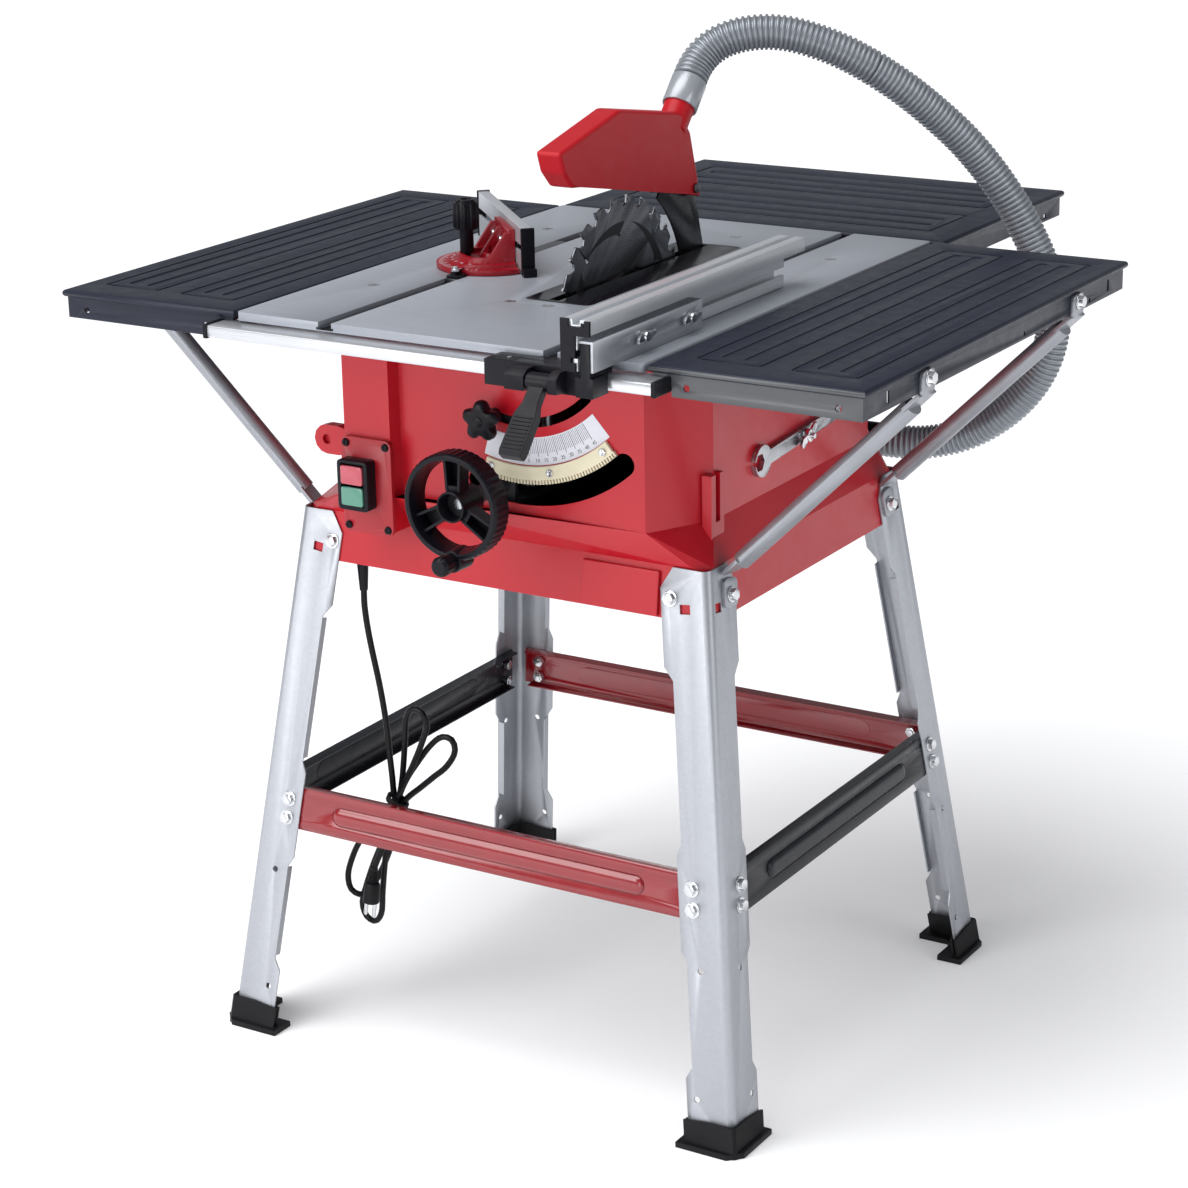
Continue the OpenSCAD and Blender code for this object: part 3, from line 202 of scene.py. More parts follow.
ALONG_Y = (40, 1, 40)
ALONG_X = (1, 40, 40)
MATS = {
    "cabinet_red": surface("cabinet_red", (0.46, 0.004, 0.014), 0.36, coat=0.15, bump=(700, 0.08, 0.0001),
                           tone=(9, 0.04), specular=0.4),
    # Near-black painted shade for the inside walls of the cabinet and for the base tray.
    "cabinet_painted_shade": surface("cabinet_painted_shade", (0.008, 0.006, 0.006), 0.6, specular=0.2),
    "brace_red": surface("brace_red", (0.24, 0.003, 0.008), 0.16, coat=0.8, bump=(120, 0.05, 0.0002)),
    "plastic_red": surface("plastic_red", (0.46, 0.005, 0.012), 0.38, bump=(900, 0.08, 0.0001),
                           tone=(9, 0.03), specular=0.25),
    "mitre_red": surface("mitre_red", (0.25, 0.003, 0.010), 0.32, bump=(900, 0.08, 0.0001), specular=0.4),
    "plate_red": surface("plate_red", (0.34, 0.006, 0.014), 0.34, bump=(1200, 0.2, 0.0001)),
    "table_grey": surface("table_grey", (0.33, 0.35, 0.39), 0.40, metal=0.2, stretch=(1, 14, 1),
                          bump=(420, 0.08, 0.0001), tone=(12, 0.03), specular=0.4),
    "insert_black": surface("insert_black", (0.006, 0.006, 0.009), 0.20, specular=0.4,
                            bump=(500, 0.05, 0.0001)),
    "leaf_black": surface("leaf_black", (0.012, 0.015, 0.028), 0.40, bump=(1400, 0.18, 0.0001),
                          tone=(8, 0.08), specular=0.26),
    "apron_grey": surface("apron_grey", (0.085, 0.088, 0.095), 0.34, metal=0.3, bump=(1400, 0.18, 0.0001)),
    "side_black": surface("side_black", (0.006, 0.007, 0.011), 0.30, bump=(900, 0.12, 0.0001),
                          specular=0.35),
    "galvanised": spangled("galvanised", (0.44, 0.455, 0.49), 0.46),
    "strut_grey": surface("strut_grey", (0.33, 0.34, 0.37), 0.36, metal=0.6),
    "zinc": surface("zinc", (0.66, 0.67, 0.69), 0.22, metal=1.0, bump=(500, 0.1, 0.0001)),
    "steel": surface("steel", (0.45, 0.46, 0.48), 0.28, metal=1.0, bump=(700, 0.1, 0.0001)),
    "dark_steel": surface("dark_steel", (0.12, 0.12, 0.13), 0.35, metal=0.9),
    "cast_grey": surface("cast_grey", (0.03, 0.03, 0.034), 0.55, metal=0.3, bump=(300, 0.4, 0.0003)),
    "fence_alloy": surface("fence_alloy", (0.62, 0.64, 0.67), 0.34, metal=0.55, stretch=ALONG_Y,
                           bump=(60, 0.12, 0.0001)),
    "rail_alloy": surface("rail_alloy", (0.62, 0.63, 0.66), 0.32, metal=0.75, stretch=ALONG_X,
                          bump=(60, 0.12, 0.0001)),
    "mitre_alloy": surface("mitre_alloy", (0.60, 0.62, 0.66), 0.34, metal=0.55, stretch=ALONG_X,
                           turn=-math.radians(135), bump=(60, 0.12, 0.0001)),
    "black_plastic": surface("black_plastic", (0.005, 0.005, 0.008), 0.34, bump=(1500, 0.3, 0.0001),
                             specular=0.18),
    "rubber": surface("rubber", (0.005, 0.005, 0.006), 0.5, bump=(1100, 0.3, 0.0002), specular=0.2),
    "cord_rubber": surface("cord_rubber", (0.004, 0.004, 0.005), 0.36, bump=(1800, 0.2, 0.0001),
                           specular=0.2),
    "cream": surface("cream", (0.72, 0.66, 0.48), 0.42, bump=(900, 0.12, 0.0001)),
    "stop_red": surface("stop_red", (0.50, 0.07, 0.10), 0.22, coat=0.5),
    "start_green": surface("start_green", (0.07, 0.24, 0.17), 0.22, coat=0.5),
    "blade_steel": ground_disc("blade_steel", (0.15, 0.155, 0.17), 0.26, at(*ARBOR)),
    "knife_black": surface("knife_black", (0.005, 0.005, 0.006), 0.28, metal=0.2),
    "hose_grey": surface("hose_grey", (0.27, 0.29, 0.32), 0.34, metal=0.45, bump=(800, 0.1, 0.0001)),
    "cuff_grey": surface("cuff_grey", (0.36, 0.38, 0.41), 0.30, metal=0.35, bump=(900, 0.1, 0.0001)),
    "label_white": surface("label_white", (0.70, 0.70, 0.76), 0.42, bump=(600, 0.05, 0.0001),
                           tone=(9, 0.02)),
    "print_black": surface("print_black", (0.010, 0.010, 0.012), 0.40, specular=0.3),
    "print_grey": surface("print_grey", (0.03, 0.03, 0.035), 0.5, specular=0.2),
    # Black for recesses: partly the parts' own dark colour, partly painted shade in the table slots and the
    # carrier's pockets.
    "recess_black_and_painted_shade": surface("recess_black_and_painted_shade", (0.008, 0.009, 0.010), 0.5, specular=0.3),
}

# Material and edge radius in mm of each CAD node that is shown as packed.
LOOKS = {
    "cabinet": ("cabinet_red", 0.9, 6), "cabinet_base": ("cabinet_red", 0.9, 6),
    "main_table": ("table_grey", 0.8), "table_insert": ("insert_black", 0.3),
    "left_extension": ("leaf_black", 0.8), "right_extension": ("leaf_black", 0.8),
    "rear_extension": ("leaf_black", 0.8), "extension_struts": ("strut_grey", 0.8),
    "front_rail": ("rail_alloy", 0.5), "legs": ("galvanised", 0.5), "rubber_feet": ("rubber", 1.2),
    "cross_braces": ("brace_red", 0.4), "side_braces": ("side_black", 0.4), "frame_bolts": ("zinc", 0.35),
    "machine_screws": ("zinc", 0.2), "switch_plate": ("plate_red", 1.4),
    "switch_box": ("black_plastic", 1.4), "stop_button": ("stop_red", 0.8),
    "start_button": ("start_green", 0.8), "tilt_rack": ("cream", 0.25),
    "trunnion_brackets": ("cast_grey", 0.8), "dust_outlet": ("black_plastic", 0.8),
    "spanners": ("steel", 0.4), "spanner_wing_nut": ("zinc", 0.4), "cord_gland": ("black_plastic", 0.5),
    "tilt_frame": ("cast_grey", 0.8), "guide_columns": ("steel", 0.5), "handwheel_shaft": ("steel", 0.5),
    "handwheel": ("black_plastic", 0.8), "crank_grip": ("black_plastic", 0.6),
    "tilt_lock_knob": ("black_plastic", 1.5), "lead_screw": ("steel", 0.2), "carriage": ("cast_grey", 0.8),
    "motor": ("black_plastic", 0.8), "gear_case": ("cast_grey", 0.8), "riving_knife": ("knife_black", 0.3),
    "knife_bolts": ("dark_steel", 0.4), "motor_pinion": ("steel", 0.2), "arbor": ("dark_steel", 0.3),
    "blade": ("blade_steel", 0.12), "blade_flanges": ("dark_steel", 0.5),
    "guard_shell": ("plastic_red", 1.1), "guard_cuff": ("cuff_grey", 0.8),
    "fence_carrier": ("black_plastic", 0.6), "fence_bracket": ("galvanised", 0.4),
    "fence_lever": ("black_plastic", 0.8), "fence_profile": ("fence_alloy", 0.35),
    "fence_end_cap": ("black_plastic", 0.5), "fence_wing_bolt_front": ("zinc", 0.5),
    "fence_wing_bolt_rear": ("zinc", 0.5), "mitre_bar": ("dark_steel", 0.4),
    "mitre_head": ("mitre_red", 0.6), "mitre_fence": ("mitre_alloy", 0.35),
    "mitre_wing_bolt_left": ("zinc", 0.4), "mitre_wing_bolt_right": ("zinc", 0.4),
    "mitre_knob": ("black_plastic", 0.8),
}


def round_edges(obj, radius, limit=32.0):
    """Merges the facets that lie in one plane, then rounds what is left of the sharp edges."""
    weld = obj.modifiers.new("weld", "WELD")
    weld.merge_threshold = 2e-6
    flat = obj.modifiers.new("flat", "DECIMATE")
    flat.decimate_type = "DISSOLVE"
    flat.angle_limit = math.radians(0.6)
    edge = obj.modifiers.new("edge", "BEVEL")
    edge.width = radius * MM
    edge.segments = 2
    edge.limit_method = "ANGLE"
    edge.angle_limit = math.radians(limit)
    edge.harden_normals = True
    for face in obj.data.polygons:
        face.use_smooth = True


def level_normals(obj):
    """Large faces keep their own direction, so that they shade flat beside their rounded edges."""
    weight = obj.modifiers.new("level", "WEIGHTED_NORMAL")
    weight.keep_sharp = True


def dress_cad():
    for name, (look, radius, *limit) in LOOKS.items():
        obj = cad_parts[name]
        obj.data.materials.clear()
        obj.data.materials.append(MATS[look])
        round_edges(obj, radius, *limit)
    for name in ("cabinet", "cabinet_base"):
        darken_inside(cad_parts[name])
        level_normals(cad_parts[name])
    lighten_apron(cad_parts["right_extension"])
    blacken_plate_screws(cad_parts["machine_screws"])


def darken_inside(obj):
    """Painted shade on the inside: near-black on each face whose normal meets another wall more than 100 mm
    away.
    """
    obj.data.materials.append(MATS["cabinet_painted_shade"])
    corners = [v.co for v in obj.data.vertices]
    walls = BVHTree.FromPolygons(corners, [list(face.vertices) for face in obj.data.polygons])
    for face in obj.data.polygons:
        hit = walls.ray_cast(face.center + face.normal * 0.0005, face.normal)[0]
        if hit is not None and (hit - face.center).length > 0.1:
            face.material_index = 1


def lighten_apron(obj):
    """The front apron of the right table catches the light as satin steel."""
    obj.data.materials.append(MATS["apron_grey"])
    front = min(v.co.y for v in obj.data.vertices)
    for face in obj.data.polygons:
        if face.normal.y < -0.95 and face.center.y < front + 0.004:
            face.material_index = 1


def blacken_plate_screws(obj):
    obj.data.materials.append(MATS["black_plastic"])
    for face in obj.data.polygons:
        if face.center.x < -0.12 and face.center.z < 0.72:
            face.material_index = 1


# ---- Mesh helpers ----
def piece(name, mesh, look, body):
    obj = bpy.data.objects.new(name, mesh)
    bpy.context.scene.collection.objects.link(obj)
    mesh.materials.append(MATS[look])
    if body:
        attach(obj, body)
    return obj


def mesh_from(name, verts, faces, smooth=False):
    mesh = bpy.data.meshes.new(name)
    mesh.from_pydata([tuple(v) for v in verts], [], faces)
    mesh.validate()
    work = bmesh.new()
    work.from_mesh(mesh)
    bmesh.ops.recalc_face_normals(work, faces=work.faces)
    work.to_mesh(mesh)
    work.free()
    for face in mesh.polygons:
        face.use_smooth = smooth
    return mesh


def slab(outline, near, far, lift):
    """Closed prism of a 2D outline between two depths; lift turns (u, v, depth) into a place."""
    n = len(outline)
    verts = [lift(u, v, d) for d in (near, far) for u, v in outline]
    faces = [list(range(n)), [n + k for k in reversed(range(n))]]
    faces += [[k, (k + 1) % n, n + (k + 1) % n, n + k] for k in range(n)]
    return verts, faces


def join(parts):
    verts, faces = [], []
    for more_verts, more_faces in parts:
        base = len(verts)
        verts += more_verts
        faces += [[base + k for k in face] for face in more_faces]
    return verts, faces


def bevelled(obj, radius, segments=3, limit=30.0):
    edge = obj.modifiers.new("edge", "BEVEL")
    edge.width = radius * MM
    edge.segments = segments
    edge.limit_method = "ANGLE"
    edge.angle_limit = math.radians(limit)
    edge.harden_normals = True
    for face in obj.data.polygons:
        face.use_smooth = True
    return obj


def smooth_path(points, step):
    """Evenly spaced places along a Catmull-Rom curve through the points, all in metres."""
    fine = []
    last = len(points) - 1
    for k in range(last):
        p0, p1, p2, p3 = (points[min(max(k + j, 0), last)] for j in (-1, 0, 1, 2))
        for s in range(24):
            t = s / 24
            fine.append(0.5 * (2 * p1 + (p2 - p0) * t + (2 * p0 - 5 * p1 + 4 * p2 - p3) * t * t
                               + (3 * p1 - p0 - 3 * p2 + p3) * t ** 3))
    fine.append(points[-1])
    total = sum((b - a).length for a, b in zip(fine, fine[1:]))
    count = max(int(round(total / step)), 2)
    out, walked, k = [fine[0]], 0.0, 0
    for i in range(1, count):
        goal = total * i / count
        while walked + (fine[k + 1] - fine[k]).length < goal:
            walked += (fine[k + 1] - fine[k]).length
            k += 1
        share = (goal - walked) / (fine[k + 1] - fine[k]).length
        out.append(fine[k].lerp(fine[k + 1], share))
    out.append(fine[-1])
    return out, total


def swept(path, radii, sides, closed_ends=True):
    """Tube mesh along the path with a radius for each place; its frame turns as little as possible."""
    verts, faces = [], []
    side = None
    for k, here in enumerate(path):
        ahead = (path[min(k + 1, len(path) - 1)] - path[max(k - 1, 0)]).normalized()
        if side is None:
            side = ahead.orthogonal().normalized()
        side = (side - ahead * side.dot(ahead)).normalized()
        up = ahead.cross(side)
        for j in range(sides):
            a = 2 * math.pi * j / sides
            verts.append(here + radii[k] * (math.cos(a) * side + math.sin(a) * up))
    for k in range(len(path) - 1):
        for j in range(sides):
            m = (j + 1) % sides
            faces.append([k * sides + j, k * sides + m, (k + 1) * sides + m, (k + 1) * sides + j])
    if closed_ends:
        faces.append([j for j in reversed(range(sides))])
        faces.append([(len(path) - 1) * sides + j for j in range(sides)])
    return verts, faces


# ---- Mains lead: from the gland down into a tied hank of long loops, ending in the plug ----
CORD_POINTS = [
    (-215, -150, 509), (-215, -150, 490), (-212, -150, 465), (-207, -150, 438), (-201, -150, 410),
    (-196, -150, 382), (-192, -150, 352), (-189, -151, 322), (-186, -152, 296), (-184, -153, 276),
    (-181, -152, 262), (-184, -150, 240), (-196, -147, 208), (-212, -144, 176), (-229, -142, 150),
    (-244, -141, 138), (-257, -142, 142), (-260, -143, 158), (-254, -144, 178), (-240, -147, 204),
    (-218, -150, 232), (-196, -152, 254), (-180, -154, 272), (-166, -156, 296), (-151, -157, 324),
    (-139, -158, 350), (-133, -158, 368), (-138, -158, 382), (-152, -157, 384), (-162, -155, 370),
    (-166, -153, 346), (-171, -150, 318), (-176, -148, 292), (-182, -147, 270), (-192, -145, 246),
    (-208, -143, 214), (-225, -141, 180), (-238, -140, 148), (-243, -141, 128), (-237, -142, 113),
    (-223, -144, 111), (-213, -146, 125), (-209, -148, 150), (-204, -149, 184), (-197, -151, 218),
    (-188, -152, 246), (-180, -152, 270), (-168, -151, 296), (-152, -150, 320), (-136, -149, 341),
    (-121, -148, 354), (-107, -148, 353), (-104, -148, 339), (-116, -148, 320), (-133, -148, 305),
    (-151, -149, 289), (-170, -150, 272), (-182, -153, 252), (-190, -157, 232), (-196, -161, 214),
    (-201, -165, 200), (-205, -168, 188),
]
CORD_D = 7.0


def make_lead():
    path, length = smooth_path([at(*p) for p in CORD_POINTS], 0.006)
    curve = bpy.data.curves.new("mains_lead", "CURVE")
    curve.dimensions = "3D"
    curve.bevel_depth = CORD_D / 2 * MM
    curve.bevel_resolution = 4
    curve.use_fill_caps = True
    spline = curve.splines.new("POLY")
    spline.points.add(len(path) - 1)
    for point, here in zip(spline.points, path):
        point.co = (*here, 1)
    spline.use_smooth = True
    lead = bpy.data.objects.new("mains_lead", curve)
    bpy.context.scene.collection.objects.link(lead)
    curve.materials.append(MATS["cord_rubber"])
    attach(lead, "root")
    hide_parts("power_cord", "cord_hank")
    return lead, length, make_plug(path[-1], (path[-1] - path[-4]).normalized()), make_tie()


def lathe(profile, origin, axis, sides=32):
    """Closed turned body: profile gives (distance along the axis, radius) in mm from end to end."""
    side = axis.orthogonal().normalized()
    up = axis.cross(side)
    verts, faces = [], []
    for along, radius in profile:
        for j in range(sides):
            a = 2 * math.pi * j / sides
            verts.append(origin + axis * along * MM + radius * MM * (math.cos(a) * side + math.sin(a) * up))
    for k in range(len(profile) - 1):
        for j in range(sides):
            m = (j + 1) % sides
            faces.append([k * sides + j, k * sides + m, (k + 1) * sides + m, (k + 1) * sides + j])
    faces.append([j for j in reversed(range(sides))])
    faces.append([(len(profile) - 1) * sides + j for j in range(sides)])
    return verts, faces


def make_plug(start, axis):
    axis = (axis + Vector((0, 0, -2.2))).normalized()
    side = Vector((0, 1, 0)).cross(axis).normalized()
    parts = []
    relief = [(-3, 4.2)]
    for k in range(6):
        relief += [(k * 2.6, 4.6 + k * 0.25), (k * 2.6 + 1.6, 4.6 + k * 0.25), (k * 2.6 + 1.6, 4.0),
                   (k * 2.6 + 2.6, 4.0)]
    relief += [(16, 7.0), (18, 8.4), (30, 9.2), (38, 9.6), (40, 9.2), (40.5, 8.4)]
    parts.append(lathe(relief, start, axis))
    mesh = mesh_from("plug", *join(parts), smooth=True)
    body = bevelled(piece("plug_body", mesh, "rubber", "root"), 0.4, 2, 50)
    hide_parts("plug")
    pins = []
    for s in (-1, 1):
        base = start + axis * 40 * MM + side * s * 5.5 * MM
        pins.append(lathe([(-1, 2.3), (15.5, 2.3), (17.5, 1.2)], base, axis, 20))
    metal = piece("plug_pins", mesh_from("plug_pins", *join(pins), smooth=True), "zinc", "root")
    bevelled(metal, 0.2, 2, 50)
    return [body, metal]


def make_tie():
    """Black band wound twice round the waist of the hank."""
    middle = at(-181, -151, 268)
    along = (at(-160, -153, 310) - at(-200, -149, 226)).normalized()
    side = Vector((0, 1, 0)).cross(along).normalized()
    ring = []
    for k in range(97):
        a = 2 * math.pi * k / 32
        ring.append(middle + along * (k / 96 - 0.5) * 8 * MM + side * math.cos(a) * 12.5 * MM
                    + Vector((0, 1, 0)) * math.sin(a) * 9.5 * MM)
    verts, faces = swept(ring, [1.5 * MM] * len(ring), 8)
    tie = piece("hank_tie", mesh_from("hank_tie", verts, faces, smooth=True), "rubber", "root")
    return tie


# ---- Extraction hose: fine ribs, in three lengths ----
HOSE_POINTS = [
    (21, 162.1, 1035.7), (22, 174, 1049), (30, 187, 1064), (48, 200, 1076), (74, 214, 1082),
    (102, 228, 1081), (130, 242, 1073), (158, 258, 1060), (185, 276, 1042), (212, 294, 1020),
    (238, 313, 994), (264, 331, 965), (287, 347, 933), (308, 361, 898), (326, 373, 861), (342, 382, 822),
    (353, 387, 783), (355, 388, 744), (346, 386, 706), (326, 381, 671), (297, 373, 642), (263, 362, 621),
    (228, 349, 611), (196, 339, 609), (165.3, 335, 610),
]
HOSE_R = 19.2
RIB_PITCH = 0.0058
RIB_SHAPE = [(0.0, 0.0), (0.16, 0.25), (0.26, 0.9), (0.38, 1.0), (0.56, 1.0), (0.68, 0.9), (0.80, 0.25)]
RIB_DEPTH = 2.6


def ribbed(points, name, body_a, body_b, start, end):
    path, length = smooth_path(points, RIB_PITCH)
    places, radii = [], []
    for k in range(len(path) - 1):
        for share, height in RIB_SHAPE:
            places.append(path[k].lerp(path[k + 1], share))
            radii.append((HOSE_R - RIB_DEPTH * (1 - height)) * MM)
    places.append(path[-1])
    radii.append((HOSE_R - RIB_DEPTH) * MM)
    mesh = mesh_from(name, *swept(places, radii, 28), smooth=True)
    obj = piece(name, mesh, "hose_grey", None)
    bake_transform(obj)
    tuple(start)
    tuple(end)
    return obj, length, path


def make_hose():
    points = [at(*p) for p in HOSE_POINTS]
    cuts = [(0, 8, "hose_upper", "guard", "carriage"), (8, 16, "hose_middle", "carriage", "tilt_unit"),
            (16, 24, "hose_lower", "tilt_unit", "root")]
    for first, last, name, a, b in cuts:
        part = points[first:last + 1]
        lead_in = 1 if first == 0 else 0
        obj, length, path = ribbed(part, name, a, b, part[lead_in], part[-1])
        tuple(part[0])
        [tuple(p) for p in path]
    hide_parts("extraction_hose")


lead, lead_length, plug_pieces, tie = make_lead()
tuple(at(*CORD_POINTS[0]))
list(plug_pieces)
make_hose()
dress_cad()


# ---- Tilt scale label ----
def polar(radius, degrees):
    a = math.radians(degrees)
    return TILT_X + radius * math.sin(a), TABLE_H - radius * math.cos(a)


def on_panel(u, v, depth):
    return at(u, -192 - depth, v)


def arc_band(r1, r2, a1, a2, steps=40):
    inner = [polar(r1, a1 + (a2 - a1) * k / steps) for k in range(steps + 1)]
    outer = [polar(r2, a2 - (a2 - a1) * k / steps) for k in range(steps + 1)]
    return inner + outer


def digit_text(name, body_text, place, turn, size, look, body):
    """Flat numeral standing on a surface; turn is its full rotation."""
    curve = bpy.data.curves.new(name, "FONT")
    curve.body = body_text
    curve.size = size * MM
    curve.align_x = "CENTER"
    curve.align_y = "CENTER"
    curve.extrude = 0.00005
    obj = bpy.data.objects.new(name, curve)
    bpy.context.scene.collection.objects.link(obj)
    obj.matrix_world = Matrix.Translation(place) @ turn
    curve.materials.append(MATS[look])
    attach(obj, body)


def make_label():
    verts, faces = slab(arc_band(128, 157, -16, 43), 0.05, 0.35, on_panel)
    piece("scale_label", mesh_from("scale_label", verts, faces), "label_white", "root")
    ticks = []
    for k in range(43):
        angle = -2 + k * 0.9
        far = 148 if k % 5 == 2 else 145
        half = 0.09 if k % 5 != 2 else 0.13
        ticks.append(slab([polar(129, angle - half), polar(far, angle - half), polar(far, angle + half),
                           polar(129, angle + half)], 0.36, 0.42, on_panel))
    piece("scale_ticks", mesh_from("scale_ticks", *join(ticks)), "print_grey", "root")
    for k in range(10):
        x, z = polar(152.2, 4 * k)
        turn = Matrix.Rotation(math.radians(90), 4, "X") @ Matrix.Rotation(math.radians(4 * k), 4, "Z")
        digit_text(f"scale_number_{5 * k}", str(5 * k), on_panel(x, z, 0.4), turn, 5.4, "print_black",
                   "root")


# ---- Printed marks on the blade: six tapering crescents on each side ----
def on_blade(u, v, depth):
    return at(BLADE_X + depth, ARBOR[1] + u, ARBOR[2] + v)


def make_blade_print():
    parts = []
    for near, far in ((1.01, 1.06), (-1.06, -1.01)):
        for head in range(6):
            start = 84 + 60 * head
            outer = [(97.0, start + 52 * k / 16) for k in range(17)]
            inner = [(97.0 - 15 * (1 - k / 16) ** 0.9,
                      start + (8 if k == 0 else 0) + 52 * k / 16) for k in range(16)]
            crescent = [(r * math.cos(math.radians(a)), r * math.sin(math.radians(a)))
                        for r, a in outer + list(reversed(inner))]
            parts.append(slab(crescent, near, far, on_blade))
    piece("blade_print", mesh_from("blade_print", *join(parts)), "print_black", "blade_spindle")


# ---- Front rail caps, slot floors, mitre gauge detail ----
def box_part(x0, x1, y0, y1, z0, z1):
    return slab([(x0, y0), (x1, y0), (x1, y1), (x0, y1)], z0, z1, at)


def make_rail_caps():
    parts = [box_part(-264.5, -259, -339.2, -298.8, 824.8, 839.7),
             box_part(261, 266.5, -339.2, -298.8, 824.8, 839.7)]
    caps = piece("rail_caps", mesh_from("rail_caps", *join(parts)), "black_plastic", "root")
    bevelled(caps, 1.2)


def make_slot_floors():
    # Dark strips on the slot floors: partly the slots' dark paint, partly painted shade in the slots.
    parts = [box_part(x - 7.9, x + 7.9, -313.5, 313.5, 842.02, 842.2) for x in (-129, 136.5)]
    piece("slot_floors", mesh_from("slot_floors", *join(parts)), "recess_black_and_painted_shade", "root")


MITRE = (-129.0, -8.0)
MITRE_TURN = math.radians(45)


def on_mitre(u, v, z):
    c, s = math.cos(MITRE_TURN), math.sin(MITRE_TURN)
    return at(MITRE[0] + u * c - v * s, MITRE[1] + u * s + v * c, TABLE_H + z)


def make_mitre_detail():
    caps = []
    for v0, v1 in ((-69.0, -65.3), (159.3, 163.0)):
        caps.append(slab([(17.6, v0), (32.4, v0), (32.4, v1), (17.6, v1)], 0.4, 51.2, on_mitre))
    caps.append(slab([(17.6, -78), (32.4, -78), (32.4, -68), (17.6, -68)], 0.4, 9.0, on_mitre))
    obj = piece("mitre_fence_caps", mesh_from("mitre_fence_caps", *join(caps)), "black_plastic",
                "mitre_fence")
    bevelled(obj, 0.9)
    shoe = piece("mitre_pointer",
                 mesh_from("mitre_pointer",
                           *join([box_part(-136, -122, -86, -69.5, 850.1, 853.4),
                                  box_part(-130, -128, -72, -62, 856.2, 857.2),
                                  box_part(-131.5, -126.5, -84, -70, 853.3, 857.2)])), "black_plastic",
                 "mitre_slide")
    bevelled(shoe, 0.4)
    stud = lathe([(0, 4.6), (2.4, 4.6), (2.4, 3.0), (5.0, 3.0)], at(-129, -79, 857), Vector((0, 0, 1)), 24)
    bevelled(piece("mitre_pointer_screw", mesh_from("mitre_pointer_screw", *stud, smooth=True), "zinc",
                   "mitre_slide"), 0.3)
    ticks = []
    for degree in range(-60, 61, 5):
        a = math.radians(180 + degree)
        r1 = 49.5 if degree % 15 == 0 else 53
        ring = [(r, a + d) for r, d in ((r1, -0.006), (58, -0.006), (58, 0.006), (r1, 0.006))]
        ticks.append(slab([(r * math.cos(t), r * math.sin(t)) for r, t in ring], 6.01, 6.10, on_mitre))
    piece("mitre_ticks", mesh_from("mitre_ticks", *join(ticks)), "label_white", "mitre_head")
    for degree in (-45, -30, -15, 0, 15, 30, 45):
        a = math.radians(180 + degree)
        turn = Matrix.Rotation(MITRE_TURN + a - math.pi / 2, 4, "Z")
        digit_text(f"mitre_number_{degree + 45}", str(abs(degree)),
                   on_mitre(43 * math.cos(a), 43 * math.sin(a), 9.05), turn, 4.5, "label_white",
                   "mitre_head")


# ---- Turned and moulded controls ----
WHEEL = (-9.253, 665.302)
LOCK = (-9.246, 740.85)


def around(centre, radius, degrees, y):
    a = math.radians(degrees)
    return at(centre[0] + radius * math.cos(a), y, centre[1] + radius * math.sin(a))


def ring_body(centre, section, sides, ripple=None):
    """Closed ring about the Y axis through centre: section loops (y, radius); ripple(j, k) adds to radii."""
    verts = []
    n = len(section)
    for j in range(sides):
        for k, (y, radius) in enumerate(section):
            extra = ripple(j, k) if ripple else 0.0
            verts.append(around(centre, radius + extra, 360 * j / sides, y))
    faces = []
    for j in range(sides):
        i = (j + 1) % sides
        faces += [[j * n + k, j * n + (k + 1) % n, i * n + (k + 1) % n, i * n + k] for k in range(n)]
    return verts, faces


def make_handwheel():
    rim = [(-280.3, 49.0), (-280.9, 50.0), (-280.9, 53.5), (-280.0, 54.6), (-277.5, 55.4), (-256.5, 55.4),
           (-255.0, 54.4), (-255.0, 46.5), (-258.0, 45.4), (-272.0, 47.2)]
    parts = [ring_body(WHEEL, rim, 192, lambda j, k: 0.75 if k in (4, 5) and j % 4 < 2 else 0.0)]
    hub = [(-279.0, 14.2), (-279.6, 15.0), (-279.0, 16.2), (-262.0, 17.2), (-243.0, 17.2), (-241.4, 16.0),
           (-241.4, 6.2), (-262.0, 6.2), (-263.0, 13.2)]
    parts.append(ring_body(WHEEL, hub, 48))
    for angle in (90, 210, 330):
        def spoke(u, v, depth, angle=angle):
            a = math.radians(angle)
            return at(WHEEL[0] + u * math.cos(a) - v * math.sin(a), depth,
                      WHEEL[1] + u * math.sin(a) + v * math.cos(a))
        walls = [(15, -8.5, 47, -10.5, 3), (15, 5.5, 47, 7.5, 3)]
        for u0, v0, u1, v1, thick in walls:
            parts.append(slab([(u0, v0), (u1, v1), (u1, v1 + thick), (u0, v0 + thick)], -274, -257, spoke))
        parts.append(slab([(14, -8), (47.5, -10), (47.5, 10), (14, 8)], -260, -257, spoke))
        parts.append(slab([(14, -8), (21, -8.4), (21, 8.4), (14, 8)], -273, -260, spoke))
    boss = ring_body((WHEEL[0], WHEEL[1] - 57),
                     [(-280.6, 4.05), (-280.6, 10.6), (-279.6, 11.6), (-256, 12.0), (-254.6, 11.0),
                      (-254.6, 4.05)], 40)
    parts.append(boss)
    wheel = piece("handwheel_body", mesh_from("handwheel_body", *join(parts)), "black_plastic", "handwheel")
    bevelled(wheel, 0.35, 2, 28)
    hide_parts("handwheel")


